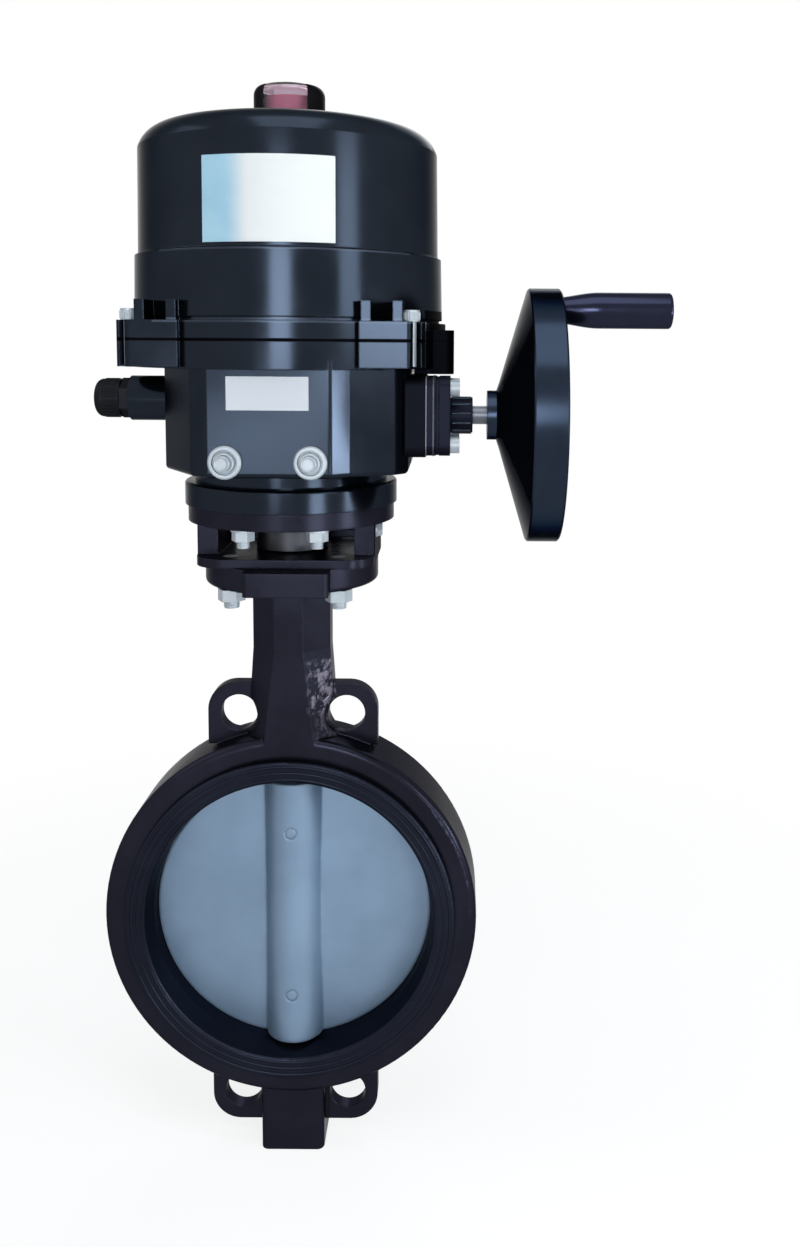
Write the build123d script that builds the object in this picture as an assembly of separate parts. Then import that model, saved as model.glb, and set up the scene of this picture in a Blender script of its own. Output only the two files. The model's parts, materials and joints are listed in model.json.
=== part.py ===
from build123d import *
from math import atan2, cos, degrees, pi, radians, sin, sqrt, tan
import os

# Motor-driven butterfly valve, DN 200, between-flange pattern, shown closed.
# The origin is the centre of the valve bore, +Z runs up the stem and -Y is the front.
# All sizes are in millimetres.

# Fits and gaps
running_gap = 0.05
moving_gap = 0.3
slip_gap = 0.15

# Disc, rubber seat and valve body
disc_radius = 98.0
disc_rim_thickness = 9.0
disc_centre_thickness = 15.0
disc_hub_radius = 21.0
seat_wall = 9.7
seat_flare = 3.0
seat_flare_length = 15.0
lip_width = 8.0
lip_height = 6.0
body_thickness = 50.0
body_rim = 23.0
flange_bolt_circle = 295.0
flange_bolt_count = 12
flange_hole_radius = 13.0
lug_thickness = 10.0
lug_rim = 9.0
lug_relief = 2.0
lug_corner_radius = 20.0
neck_half_width = 27.0
neck_half_depth = 25.0
neck_flat = 10.0
neck_foot_half_width = 32.0
neck_foot_flat = 18.0
neck_foot_height = 60.0
top_flange_height = 255.0
top_flange_thickness = 16.0
top_flange_radius = 60.0
pad_half_width = 28.0
pad_offset = 4.0
pad_depth = 5.0
boss_half_width = 22.5
boss_half_depth = 22.0
boss_length = 45.0
edge_round = 5.0

# Stems, bushes and plug
stem_radius = 11.0
stem_start = 25.0
bush_wall = 3.5
bush_length = 30.0
seal_ring_wall = 2.2
plug_length = 16.0
plug_radius = 16.0
pin_radius = 4.0
pin_place = 60.0
pin_setback = 0.5
drive_key_width = 6.0
drive_key_height = 3.0

# Mounting bracket between the valve and the gear case
bracket_height = 39.5
bracket_foot_thickness = 6.0
bracket_head_thickness = 11.5
bracket_half_width = 60.0
bracket_leg_thickness = 14.0
bracket_leg_half_depth = 30.0
bracket_foot_half_depth = 50.0
bracket_head_radius = 71.0
bracket_corner_radius = 20.0
valve_bolt_circle = 102.0
valve_bolt_radius = 5.0
valve_bolt_proud = 13.0
valve_nut_height = 8.0
base_stud_radius = 4.0
base_stud_depth = 10.0
base_nut_height = 6.4
base_washer = 1.6
base_stud_x = 24.0
base_stud_y = 56.0
hole_gap = 0.5

# Gear case
base_flange_radius = 73.0
base_flange_thickness = 15.5
base_neck_radius = 66.0
base_neck_height = 11.0
case_front = 100.0
case_front_half_width = 38.0
case_bevel_half_width = 49.0
case_bevel_depth = 91.0
case_corner_half_width = 75.0
case_corner_depth = 50.0
case_half_width = 84.0
case_side_front = 15.0
case_side_back = 40.0
case_back_half_width = 58.0
case_back = 78.0
case_height = 66.5
case_wall = 8.0
case_floor = 5.0
rim_radius = 106.5
rim_height = 17.8
bowl_wall = 9.0
bowl_floor = 5.5
case_edge_round = 4.0
worm_corner_half_width = 77.0
worm_corner_depth = 77.0
worm_side_depth = 69.0

# Cover with its sight dome
cover_rim_height = 11.7
cover_groove = 2.4
cover_groove_depth = 2.0
skirt_step = 2.5
skirt_height = 41.0
drum_step = 5.6
drum_height = 70.0
shoulder_radius = 25.0
shoulder_bulge = 5.7
crown_height = 19.5
crown_drop = 5.5
cover_wall = 4.5
cover_draft = 0.8
skirt_bevel = 1.0
dome_radius = 23.7
dome_height = 21.4
dome_round = 6.0
dome_seat_depth = 2.0
dome_wall = 2.5
dome_seat_height = 4.0
dome_seat_wall = 3.5

# Ears with captive bolts, and the side lug
ear_bolt_side = 8.4
ear_length = 40.0
ear_bolt_proud = 16.0
ear_bolt_radius = 3.0
ear_head_radius = 5.0
ear_head_height = 7.0
ear_chamfer_land = 5.0
ear_rib_height = 12.5
ear_rib_thickness = 6.0
ear_rib_inset = 10.0
side_lug_proud = 6.0
side_lug_half_width = 40.0
side_lug_drop = 21.5
side_lug_rise = 7.3
side_lug_round = 6.0

# Worm gear
gear_module = 2.0
wheel_teeth = 40
worm_pitch_radius = 9.0
pressure_angle = 20.0
tooth_play = 0.2
worm_height = 63.2
worm_length = 40.0
worm_neck = 18.0
wheel_thickness = 16.0
wheel_bore_radius = 31.0
worm_journal_radius = 6.0

# Output sleeve and travel stops
sleeve_radius = 25.0
sleeve_bore_radius = 17.0
sleeve_rise = 7.0
journal_radius = 32.0
journal_wall = 4.0
stop_level = 36.5
stop_thickness = 13.0
stop_hub_radius = 43.0
stop_reach = 55.0
stop_face = 45.0
stop_bolt_place = 26.0
stop_bolt_radius = 5.0
stop_nut_radius = 9.7
stop_nut_height = 7.0
stop_bolt_proud = 4.0

# Shaft housing on the right side
housing_size = 50.0
housing_foot_size = 52.0
housing_foot_thickness = 11.0
housing_flange_thickness = 7.5
housing_cap_thickness = 8.0
housing_boss_radius = 11.5
housing_boss_length = 14.4
housing_round = 7.0
housing_bolt_radius = 3.0
housing_bolt_inset = 7.0
housing_bolt_depth = 12.0
housing_bolt_head = 6.0
bearing_radius = 16.0
bearing_thickness = 10.0
bearing_web = 3.0

# Handwheel and grip
wheel_radius = 81.8
wheel_rim_width = 20.6
wheel_rim_depth = 7.0
wheel_rim_edge = 1.0
wheel_web = 5.0
wheel_hub_radius = 16.0
wheel_hub_gap = 9.4
wheel_hub_length = 26.0
wheel_cone_start = 8.0
wheel_cone_radius = 22.0
wheel_dish = 25.3
grip_offset = 68.0
grip_length = 72.0
grip_root_radius = 8.3
grip_radius = 11.6
grip_taper_length = 26.0
spindle_radius = 4.0

# Cable gland
gland_height = 70.5
gland_boss_radius = 15.5
gland_boss_reach = 110.4
gland_thread_radius = 9.0
gland_thread_length = 12.0
gland_collar_width = 24.0
gland_collar_length = 6.6
gland_nut_radius = 13.2
gland_nut_length = 17.7
cable_radius = 4.5

# Pieces of the switch compartment
deck_thickness = 7.0
shaft_top_radius = 6.0
indicator_radius = 17.0
indicator_height = 22.0
indicator_bar_height = 2.5
indicator_bar_width = 6.0
cam_radius = 14.0
cam_thickness = 6.0
cam_count = 2
motor_radius = 34.0
motor_length = 92.0
motor_x = -52.0
motor_y = 22.0
capacitor_radius = 17.0
capacitor_length = 62.0
capacitor_x = 48.0
capacitor_y = 55.0
switch_length = 28.0
switch_depth = 16.0
terminal_length = 78.0
terminal_depth = 18.0
terminal_height = 20.0
terminal_poles = 8
heater_length = 34.0
heater_width = 12.0
heater_height = 14.0
heater_x = 50.0
heater_y = -3.0

# Label plates
plate_thickness = 0.5
name_plate_width = 80.0
name_plate_height = 51.5
name_plate_middle = 84.0
name_plate_offset = 0.8
data_plate_width = 50.0
data_plate_height = 20.5
data_plate_drop = 14.5

# Levels and places that follow from the sizes above
seat_bore_radius = disc_radius + moving_gap
seat_radius = seat_bore_radius + seat_wall
lip_radius = seat_radius + lip_width
body_radius = seat_radius + body_rim
half_body = body_thickness / 2
half_face = half_body + lip_height
hole_angle = 180 / flange_bolt_count
hole_x = flange_bolt_circle / 2 * sin(radians(hole_angle))
hole_z = flange_bolt_circle / 2 * cos(radians(hole_angle))
stem_bore_radius = stem_radius + bush_wall
boss_bottom = -(body_radius + boss_length)
plug_top = boss_bottom + plug_length
bracket_bottom = top_flange_height
bracket_top = bracket_bottom + bracket_height
base_top = bracket_top + base_flange_thickness
case_bottom = base_top + base_neck_height
rim_bottom = case_bottom + case_height
seam = rim_bottom + rim_height
deck_bottom = rim_bottom + bowl_floor
deck_top = deck_bottom + deck_thickness
bowl_radius = rim_radius - bowl_wall
worm_axis = bracket_top + worm_height
wheel_pitch_radius = gear_module * wheel_teeth / 2
worm_y = -(wheel_pitch_radius + worm_pitch_radius)
stop_axis = bracket_top + stop_level
sleeve_bottom = bracket_bottom + sleeve_rise
skirt_bottom = seam + cover_rim_height + cover_groove
drum_bottom = skirt_bottom + skirt_height
shoulder_start = drum_bottom + drum_height
crown_top = shoulder_start + crown_height
dome_seat_top = crown_top + dome_seat_height
gland_axis = bracket_top + gland_height
housing_foot_face = case_half_width + housing_foot_thickness
housing_flange_face = housing_foot_face + housing_flange_thickness
housing_face = housing_flange_face + housing_cap_thickness
housing_boss_face = housing_face + housing_boss_length
wheel_hub_start = housing_boss_face + wheel_hub_gap
wheel_rim_start = wheel_hub_start + wheel_dish
wheel_rim_end = wheel_rim_start + wheel_rim_width
skirt_radius = rim_radius - skirt_step
drum_radius = rim_radius - drum_step
side_lug_reach = rim_radius + side_lug_proud
ear_bolt_reach = rim_radius + ear_bolt_proud
ear_bolt_place = ear_bolt_reach * cos(radians(45))
ear_half_width = ear_bolt_place + ear_bolt_side
ear_inner = ear_half_width - ear_length
sleeve_top = deck_top + sleeve_rise


# Small shape helpers

def cyl(radius, low, high, x=0.0, y=0.0):
    """Upright cylinder between two levels."""
    return Pos(x, y, (low + high) / 2) * Cylinder(radius, high - low)


def cyl_x(radius, low, high, y=0.0, z=0.0):
    """Cylinder along X between two places."""
    return Pos((low + high) / 2, y, z) * Rot(0, 90, 0) * Cylinder(radius, high - low)


def cyl_y(radius, low, high, x=0.0, z=0.0):
    """Cylinder along Y between two places."""
    return Pos(x, (low + high) / 2, z) * Rot(90, 0, 0) * Cylinder(radius, high - low)


def block(x0, x1, y0, y1, z0, z1):
    """Box between two corners."""
    return Pos((x0 + x1) / 2, (y0 + y1) / 2, (z0 + z1) / 2) * Box(x1 - x0, y1 - y0, z1 - z0)


def hexagon(across_flats, low, high, x=0.0, y=0.0):
    """Upright hexagonal prism between two levels."""
    outline = Pos(x, y, low) * RegularPolygon(across_flats / sqrt(3), 6)
    return extrude(outline, amount=high - low, dir=(0, 0, 1))


def prism(points, low, high):
    """Upright prism over a closed outline."""
    outline = make_face(Polyline(*points, close=True))
    return Pos(0, 0, low) * extrude(outline, amount=high - low, dir=(0, 0, 1))


def four(shape):
    """A piece and its copies mirrored left to right and front to back."""
    pair = [shape, mirror(shape, about=Plane.YZ)]
    return pair + [mirror(piece, about=Plane.XZ) for piece in pair]


def turned(profile, axis=Axis.Z):
    """Solid of revolution from a closed list of lines and arcs."""
    return revolve(make_face(profile), axis=axis)


# Valve: body, rubber seat, disc and stems

def neck_outline(half_width, half_depth, flat, level):
    """Eight-sided section of the neck."""
    side = half_depth * 0.32
    points = [(half_width, -side), (half_width, side), (flat, half_depth), (-flat, half_depth),
              (-half_width, side), (-half_width, -side), (-flat, -half_depth), (flat, -half_depth)]
    return Pos(0, 0, level) * make_face(Polyline(*points, close=True))


def flange_hole_places():
    return [(x, z) for x in (-hole_x, hole_x) for z in (-hole_z, hole_z)]


def lug_plate(upward):
    """Plate with two flange-bolt lugs, above or below the ring."""
    reach = hole_z + flange_hole_radius + lug_rim
    half_width = hole_x + flange_hole_radius + lug_rim
    inner = seat_radius + body_rim / 2
    outline = Pos(0, (inner + reach) / 2) * Rectangle(2 * half_width, reach - inner)
    outer_corners = outline.vertices().sort_by(Axis.Y)[-2:]
    outline = fillet(outer_corners, lug_corner_radius)
    plate = extrude(Plane.XZ * outline, amount=lug_thickness / 2, both=True)
    return plate if upward else mirror(plate, about=Plane.XY)


def valve_body():
    ring = cyl_y(body_radius, -half_body, half_body)
    ring = fillet(ring.edges().filter_by(GeomType.CIRCLE), edge_round)
    foot_level = seat_radius + body_rim / 2
    foot_top = body_radius + neck_foot_height
    flange_bottom = top_flange_height - top_flange_thickness
    foot = loft([neck_outline(neck_foot_half_width, neck_half_depth, neck_foot_flat, foot_level),
                 neck_outline(neck_half_width, neck_half_depth, neck_flat, foot_top)], ruled=True)
    column = extrude(neck_outline(neck_half_width, neck_half_depth, neck_flat, foot_top),
                     amount=flange_bottom - foot_top, dir=(0, 0, 1))
    flange = cyl(top_flange_radius, flange_bottom, top_flange_height)
    flange = fillet(flange.edges().filter_by(GeomType.CIRCLE).sort_by(Axis.Z)[0], 3)
    pad = block(pad_offset - pad_half_width, pad_offset + pad_half_width,
                -(top_flange_radius + pad_depth), 0, flange_bottom, top_flange_height)
    pad = fillet(pad.edges().filter_by(Axis.Z), 3)
    boss = block(-boss_half_width, boss_half_width, -boss_half_depth, boss_half_depth,
                 boss_bottom, -foot_level)
    boss = fillet(boss.edges().filter_by(Axis.Z), edge_round)
    body = ring + foot + column + flange + pad + boss + lug_plate(True) + lug_plate(False)
    body -= cyl_y(seat_radius, -half_body, half_body)
    for x, z in flange_hole_places():
        body -= cyl_y(flange_hole_radius, -half_body, half_body, x, z)
        for side in (-1, 1):
            near, far = sorted((side * lug_thickness / 2, side * half_body))
            body -= cyl_y(flange_hole_radius + lug_relief, near, far, x, z)
    body -= cyl(stem_bore_radius, seat_radius / 2, top_flange_height)
    body -= cyl(stem_bore_radius, plug_top, -seat_radius / 2)
    body -= cyl(plug_radius, boss_bottom, plug_top)
    for x, y in valve_bolt_places():
        body -= cyl(valve_bolt_radius + hole_gap, flange_bottom, top_flange_height, x, y)
    return body


def seat_liner():
    """Rubber seat with its two sealing lips, turned about the flow axis."""
    inner_corner = seat_bore_radius + seat_flare
    with BuildLine() as profile:
        Polyline((seat_bore_radius, -(half_face - seat_flare_length)),
                 (seat_bore_radius, half_face - seat_flare_length),
                 (inner_corner, half_face), (lip_radius, half_face), (lip_radius, half_body),
                 (seat_radius, half_body), (seat_radius, -half_body), (lip_radius, -half_body),
                 (lip_radius, -half_face), (inner_corner, -half_face), close=True)
    liner = turned(profile.line, Axis.Y)
    rims = [edge for edge in liner.edges().filter_by(GeomType.CIRCLE)
            if abs(abs(edge.center().Y) - half_face) < 0.01]
    liner = fillet(rims, 2)
    liner -= cyl(stem_radius + running_gap, -lip_radius, lip_radius)
    return liner


def disc():
    """Disc with its through hub, kept inside a ball of the disc's own radius."""
    rim = disc_rim_thickness / 2
    middle = disc_centre_thickness / 2
    room = 2 * disc_radius
    with BuildLine() as profile:
        Polyline((0, -middle), (disc_radius * 0.3, -middle), (disc_radius + 5, -rim),
                 (disc_radius + 5, rim), (disc_radius * 0.3, middle), (0, middle), close=True)
    plate = turned(profile.line, Axis.Y)
    hub = cyl(disc_hub_radius, -(disc_radius + 5), disc_radius + 5)
    shape = (plate + hub) & Sphere(disc_radius)
    flat = sqrt(disc_radius ** 2 - stem_radius ** 2) - 2
    shape &= block(-room, room, -room, room, -flat, flat)
    shape -= cyl(stem_radius, stem_start, disc_radius)
    shape -= cyl(stem_radius, -disc_radius, -stem_start)
    for side in (-1, 1):
        shape -= cyl_y(pin_radius, -disc_hub_radius, disc_hub_radius, z=side * pin_place)
    return shape


def disc_pins():
    """Two cross pins that hold the disc on its stems."""
    length = disc_hub_radius - pin_setback
    return [cyl_y(pin_radius, -length, length, z=side * pin_place) for side in (-1, 1)]


def stem_top():
    return bracket_top + base_flange_thickness


def upper_stem():
    stem = cyl(stem_radius, stem_start, stem_top())
    stem = chamfer(stem.edges().filter_by(GeomType.CIRCLE).sort_by(Axis.Z)[-1], 1.5)
    stem -= cyl_y(pin_radius, -stem_radius, stem_radius, z=pin_place)
    stem -= key_block(stem_radius - drive_key_height, stem_radius + 1)
    return stem


def lower_stem():
    stem = cyl(stem_radius, plug_top + moving_gap, -stem_start)
    stem -= cyl_y(pin_radius, -stem_radius, stem_radius, z=-pin_place)
    return stem


def key_block(near, far):
    """Room of the drive key, at the front of the stem."""
    low = sleeve_bottom + 4
    high = stem_top() - 4
    return block(-drive_key_width / 2, drive_key_width / 2, -far, -near, low, high)


def stem_key():
    return key_block(stem_radius - drive_key_height, stem_radius + drive_key_height)


def stem_bushes():
    """Plain bushes: two in the neck and one in the lower boss."""
    lows = (top_flange_height - bush_length, body_radius, plug_top + 2)
    highs = (top_flange_height, body_radius + bush_length, plug_top + 2 + bush_length)
    return [cyl(stem_bore_radius, low, high) - cyl(stem_radius + running_gap, low, high)
            for low, high in zip(lows, highs)]


def stem_seals():
    """Rubber rings that stop at the bushes."""
    levels = (top_flange_height - bush_length, body_radius + bush_length + seal_ring_wall * 2)
    rings = []
    for level in levels:
        low = level - 2 * seal_ring_wall
        rings.append(cyl(stem_bore_radius, low, level)
                     - cyl(stem_radius + running_gap, low, level))
    return rings


def bottom_plug():
    plug = cyl(plug_radius, boss_bottom, plug_top)
    return plug - hexagon(12, boss_bottom, boss_bottom + plug_length / 2)


# Bracket and the bolts on both of its faces

def valve_bolt_places():
    place = valve_bolt_circle / 2 * cos(radians(45))
    return [(x, y) for x in (-place, place) for y in (-place, place)]


def base_stud_places():
    return [(x, y) for x in (-base_stud_x, base_stud_x) for y in (-base_stud_y, base_stud_y)]


def mounting_bracket():
    foot_top = bracket_bottom + bracket_foot_thickness
    head_bottom = bracket_top - bracket_head_thickness
    foot = block(-bracket_half_width, bracket_half_width, -bracket_foot_half_depth,
                 bracket_foot_half_depth, bracket_bottom, foot_top)
    foot = fillet(foot.edges().filter_by(Axis.Z), bracket_corner_radius)
    body = foot + cyl(bracket_head_radius, head_bottom, bracket_top)
    inner = bracket_half_width - bracket_leg_thickness
    for side in (-1, 1):
        leg = block(min(side * inner, side * bracket_half_width),
                    max(side * inner, side * bracket_half_width),
                    -bracket_leg_half_depth, bracket_leg_half_depth, bracket_bottom, bracket_top)
        body += leg
    body -= cyl(sleeve_radius + 1.5, head_bottom, bracket_top)
    body -= cyl(stem_bore_radius + 2, bracket_bottom, foot_top)
    for x, y in valve_bolt_places():
        body -= cyl(valve_bolt_radius, bracket_bottom, foot_top, x, y)
    for x, y in base_stud_places():
        body -= cyl(base_stud_radius + hole_gap, head_bottom, bracket_top, x, y)
    return body


def valve_bolts():
    """Studs, screwed flush into the bracket's foot, down through the valve's top flange."""
    foot_top = bracket_bottom + bracket_foot_thickness
    end = top_flange_height - top_flange_thickness - valve_bolt_proud
    return [cyl(valve_bolt_radius, end, foot_top, x, y) for x, y in valve_bolt_places()]


def valve_nuts():
    top = top_flange_height - top_flange_thickness
    low = top - valve_nut_height
    return [hexagon(3.2 * valve_bolt_radius, low, top, x, y)
            - cyl(valve_bolt_radius, low, top, x, y) for x, y in valve_bolt_places()]


def base_studs():
    """Studs from the gear case's base down through the bracket's head."""
    low = bracket_top - bracket_head_thickness - 3.2 * base_stud_radius
    high = bracket_top + base_stud_depth
    return [cyl(base_stud_radius, low, high, x, y) for x, y in base_stud_places()]


def base_nuts():
    """Nuts with washers under the bracket's head."""
    top = bracket_top - bracket_head_thickness
    seat = top - base_washer
    low = seat - base_nut_height
    nuts = []
    for x, y in base_stud_places():
        nut = hexagon(3.25 * base_stud_radius, low, seat, x, y)
        nut += cyl(2 * base_stud_radius, seat, top, x, y)
        nuts.append(nut - cyl(base_stud_radius, low, top, x, y))
    return nuts


# Gear case and its cover

def case_points(inset):
    """Outline of the gear box seen from above, with the worm's corner at the right."""
    front = [(case_front_half_width, -case_front), (case_bevel_half_width, -case_bevel_depth)]
    rear = [(case_half_width, case_side_back), (case_back_half_width, case_back)]
    worm_side = [(worm_corner_half_width, -worm_corner_depth), (case_half_width, -worm_side_depth)]
    plain_side = [(case_corner_half_width, -case_corner_depth), (case_half_width, -case_side_front)]
    outline = front + worm_side + rear + [(-x, y) for x, y in reversed(front + plain_side + rear)]
    face = make_face(Polyline(*outline, close=True))
    return offset(face, amount=-inset, kind=Kind.INTERSECTION) if inset else face


def case_block(inset, low, high):
    return Pos(0, 0, low) * extrude(case_points(inset), amount=high - low, dir=(0, 0, 1))


def ear_outline():
    """One ear in plan at the right front, its outer corner cut off square to the diagonal."""
    edge = ear_bolt_reach + ear_chamfer_land
    cut = edge * sqrt(2) - ear_half_width
    return [(ear_inner, -ear_inner), (ear_inner, -ear_half_width), (cut, -ear_half_width),
            (ear_half_width, -cut), (ear_half_width, -ear_inner)]


def ear_slot(low, high):
    """Open slot that the captive bolt drops into from outside."""
    slot = block(0, 30, -ear_bolt_radius - hole_gap, ear_bolt_radius + hole_gap, low, high)
    slot += cyl(ear_bolt_radius + hole_gap, low, high)
    return Pos(ear_bolt_place, -ear_bolt_place, 0) * Rot(0, 0, -45) * slot


def ear(low, high):
    shape = prism(ear_outline(), low, high)
    shape = fillet(shape.edges().filter_by(Axis.Z).sort_by_distance((200, -200, 0))[:2], 3)
    return shape - ear_slot(low, high)


def side_lug(low, high):
    """Rounded lug on the right side of the rim."""
    lug = block(rim_radius - 20, side_lug_reach, -side_lug_half_width, side_lug_half_width,
                low, high)
    return fillet(lug.edges().filter_by(Axis.Z).sort_by(Axis.X)[-2:], side_lug_round)


def gear_case():
    base = cyl(base_flange_radius, bracket_top, base_top)
    base = fillet(base.edges().filter_by(GeomType.CIRCLE).sort_by(Axis.Z)[-1], 2)
    box = case_block(0, case_bottom, deck_bottom)
    box = fillet(box.edges().filter_by(Axis.Z), case_edge_round)
    box = fillet(box.faces().sort_by(Axis.Z)[0].edges(), 3)
    body = base + cyl(base_neck_radius, base_top, case_bottom + 1) + box
    body += cyl(rim_radius, rim_bottom, seam)
    for piece in four(ear(rim_bottom + 1, seam)):
        body += piece
    body += side_lug(seam - side_lug_drop, seam)
    body += cyl_x(gland_boss_radius, -gland_boss_reach, -case_half_width + case_wall,
                  z=gland_axis)
    half_foot = housing_foot_size / 2
    foot = block(case_half_width - 2, housing_foot_face, worm_y - half_foot,
                 worm_y + half_foot, worm_axis - half_foot, worm_axis + half_foot)
    body += fillet(foot.edges().filter_by(Axis.X), housing_round)
    body -= case_block(case_wall, case_bottom + case_floor, deck_bottom)
    body += bearing_post()
    body -= cyl(bowl_radius, deck_bottom, seam)
    body -= cyl(journal_radius + journal_wall, bracket_top, case_bottom + case_floor)
    body -= cyl_x(gland_thread_radius, -gland_boss_reach, 0, z=gland_axis)
    body -= cyl_x(bearing_radius, 0, housing_foot_face, y=worm_y, z=worm_axis)
    body -= cyl_x(bearing_radius, -bearing_seat(), 0, y=worm_y, z=worm_axis)
    for side in (-1, 1):
        body -= cyl_y(stop_bolt_radius, -case_front, -case_front + case_wall,
                      x=side * stop_bolt_place, z=stop_axis)
    for x, y in base_stud_places():
        body -= cyl(base_stud_radius, bracket_top, bracket_top + base_stud_depth, x, y)
    for y, z in housing_bolt_places():
        body -= cyl_x(housing_bolt_radius, housing_foot_face - housing_bolt_depth,
                      housing_foot_face, y=y, z=z)
    return body


def bearing_seat():
    """Place of the left bearing's outer end along the worm shaft."""
    return worm_length / 2 + worm_neck + bearing_thickness


def bearing_post():
    """Web from the front wall that holds the left bearing over the stop plate."""
    start = -bearing_seat() - bearing_web
    rim = bearing_radius + 4
    web = block(start, start + bearing_web + bearing_thickness, -case_front, worm_y + rim,
                worm_axis - rim, worm_axis + rim)
    return web & case_block(case_wall / 2, case_bottom, deck_bottom)


def cover_profile():
    """Half section of the cover: outside up to the crown, then back down the inside."""
    drum_top = drum_radius - cover_draft
    crown_edge = drum_top - shoulder_radius
    crown_side = crown_top - crown_drop
    inside = cover_wall
    drum_start = drum_bottom + skirt_bevel
    with BuildLine() as profile:
        outer = Polyline((rim_radius - bowl_wall, seam), (rim_radius, seam),
                         (rim_radius, seam + cover_rim_height),
                         (rim_radius - cover_groove_depth - 2.5, seam + cover_rim_height),
                         (rim_radius - cover_groove_depth - 2.5, skirt_bottom),
                         (skirt_radius, skirt_bottom), (skirt_radius - cover_draft, drum_bottom),
                         (drum_radius, drum_start), (drum_top, shoulder_start))
        shoulder = SagittaArc((drum_top, shoulder_start), (crown_edge, crown_side),
                              -shoulder_bulge)
        crown = ThreePointArc(shoulder @ 1, (crown_edge / 2, crown_top - 1), (0, crown_top))
        down = Line(crown @ 1, (0, crown_top - inside))
        under = ThreePointArc(down @ 1, (crown_edge / 2, crown_top - 1 - inside),
                              (crown_edge, crown_side - inside))
        bend = SagittaArc(under @ 1, (drum_top - inside, shoulder_start), shoulder_bulge)
        Polyline(bend @ 1, (drum_radius - inside, drum_start),
                 (drum_radius - inside, seam + cover_rim_height), (bowl_radius, seam))
    return profile.line


def top_cover():
    cover = turned(Plane.XZ * cover_profile())
    floor = seam + cover_rim_height
    for piece in four(ear(seam, floor)):
        cover += piece
    for rib in four(ear_ribs()):
        cover += rib
    cover += side_lug(seam, seam + side_lug_rise)
    cover += cyl(dome_radius + dome_seat_wall, crown_top - cover_wall, dome_seat_top)
    cover -= cyl(bowl_radius - 1, seam - 1, drum_bottom)
    cover -= cyl(indicator_radius + 2, crown_top - 2 * cover_wall, dome_seat_top)
    cover -= cyl(dome_radius, dome_seat_top - dome_seat_depth, dome_seat_top)
    return cover


def ear_ribs():
    """Two upright ribs from the ear's pad to the cover's wall."""
    low = seam + cover_rim_height
    high = low + ear_rib_height
    far = ear_bolt_place - ear_head_radius - moving_gap
    start = ear_inner - ear_rib_inset
    ribs = [block(edge - ear_rib_thickness, edge, -ear_half_width + 1, -start, low, high)
            for edge in (ear_inner + ear_rib_thickness + 1, far)]
    return ribs[0] + ribs[1]


def cover_seal():
    """Rubber ring in the joint between the case and the cover."""
    inner = bowl_radius - 3.5
    return cyl(bowl_radius, seam - 3, seam) - cyl(inner, seam - 3, seam)


def captive_bolts():
    top = seam + cover_rim_height
    bolt = cyl(ear_bolt_radius, rim_bottom + 2, top, ear_bolt_place, -ear_bolt_place)
    bolt += cyl(ear_head_radius, top, top + ear_head_height, ear_bolt_place, -ear_bolt_place)
    bolt -= hexagon(6, top + ear_head_height / 2, top + ear_head_height, ear_bolt_place,
                    -ear_bolt_place)
    return four(bolt)


def sight_dome():
    """Clear window, a round cup upside down, over the position indicator."""
    base = dome_seat_top - dome_seat_depth
    top = dome_seat_top + dome_height
    outside = cyl(dome_radius, base, top)
    outside = fillet(outside.edges().filter_by(GeomType.CIRCLE).sort_by(Axis.Z)[-1], dome_round)
    inside = cyl(dome_radius - dome_wall, base, top - dome_wall)
    inside = fillet(inside.edges().filter_by(GeomType.CIRCLE).sort_by(Axis.Z)[-1],
                    dome_round - dome_wall)
    return outside - inside


# Worm gear, output sleeve and travel stops

def tooth_angle(radius):
    """Half angle of one tooth of the worm wheel at a radius, for straight-sided flanks."""
    quarter = pi * gear_module / 4 - tooth_play
    half_width = quarter - (radius - wheel_pitch_radius) * tan(radians(pressure_angle))
    return half_width / radius


def wheel_outline():
    """Outline of the toothed rim in plan."""
    root = wheel_pitch_radius - 1.25 * gear_module
    tip = wheel_pitch_radius + gear_module
    points = []
    for tooth in range(wheel_teeth):
        middle = 2 * pi * tooth / wheel_teeth
        for radius, side in ((root, -1), (tip, -1), (tip, 1), (root, 1)):
            angle = middle + side * tooth_angle(radius)
            points.append((radius * cos(angle), radius * sin(angle)))
    return make_face(Polyline(*points, close=True))


def worm_wheel():
    """Bronze wheel whose teeth lean by the worm's lead angle."""
    lead_angle = atan2(gear_module, 2 * worm_pitch_radius)
    lean = degrees(wheel_thickness / 2 * tan(lead_angle) / wheel_pitch_radius)
    start = -90 + wheel_start_angle()
    half = wheel_thickness / 2
    low = Pos(0, 0, worm_axis - half) * Rot(0, 0, start - lean) * wheel_outline()
    high = Pos(0, 0, worm_axis + half) * Rot(0, 0, start + lean) * wheel_outline()
    wheel = loft([low, high], ruled=True)
    return wheel - cyl(wheel_bore_radius, worm_axis - half, worm_axis + half)


def wheel_start_angle():
    """Turn that sets a gap of the wheel over the worm's thread at rest."""
    return 180 / wheel_teeth


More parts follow.
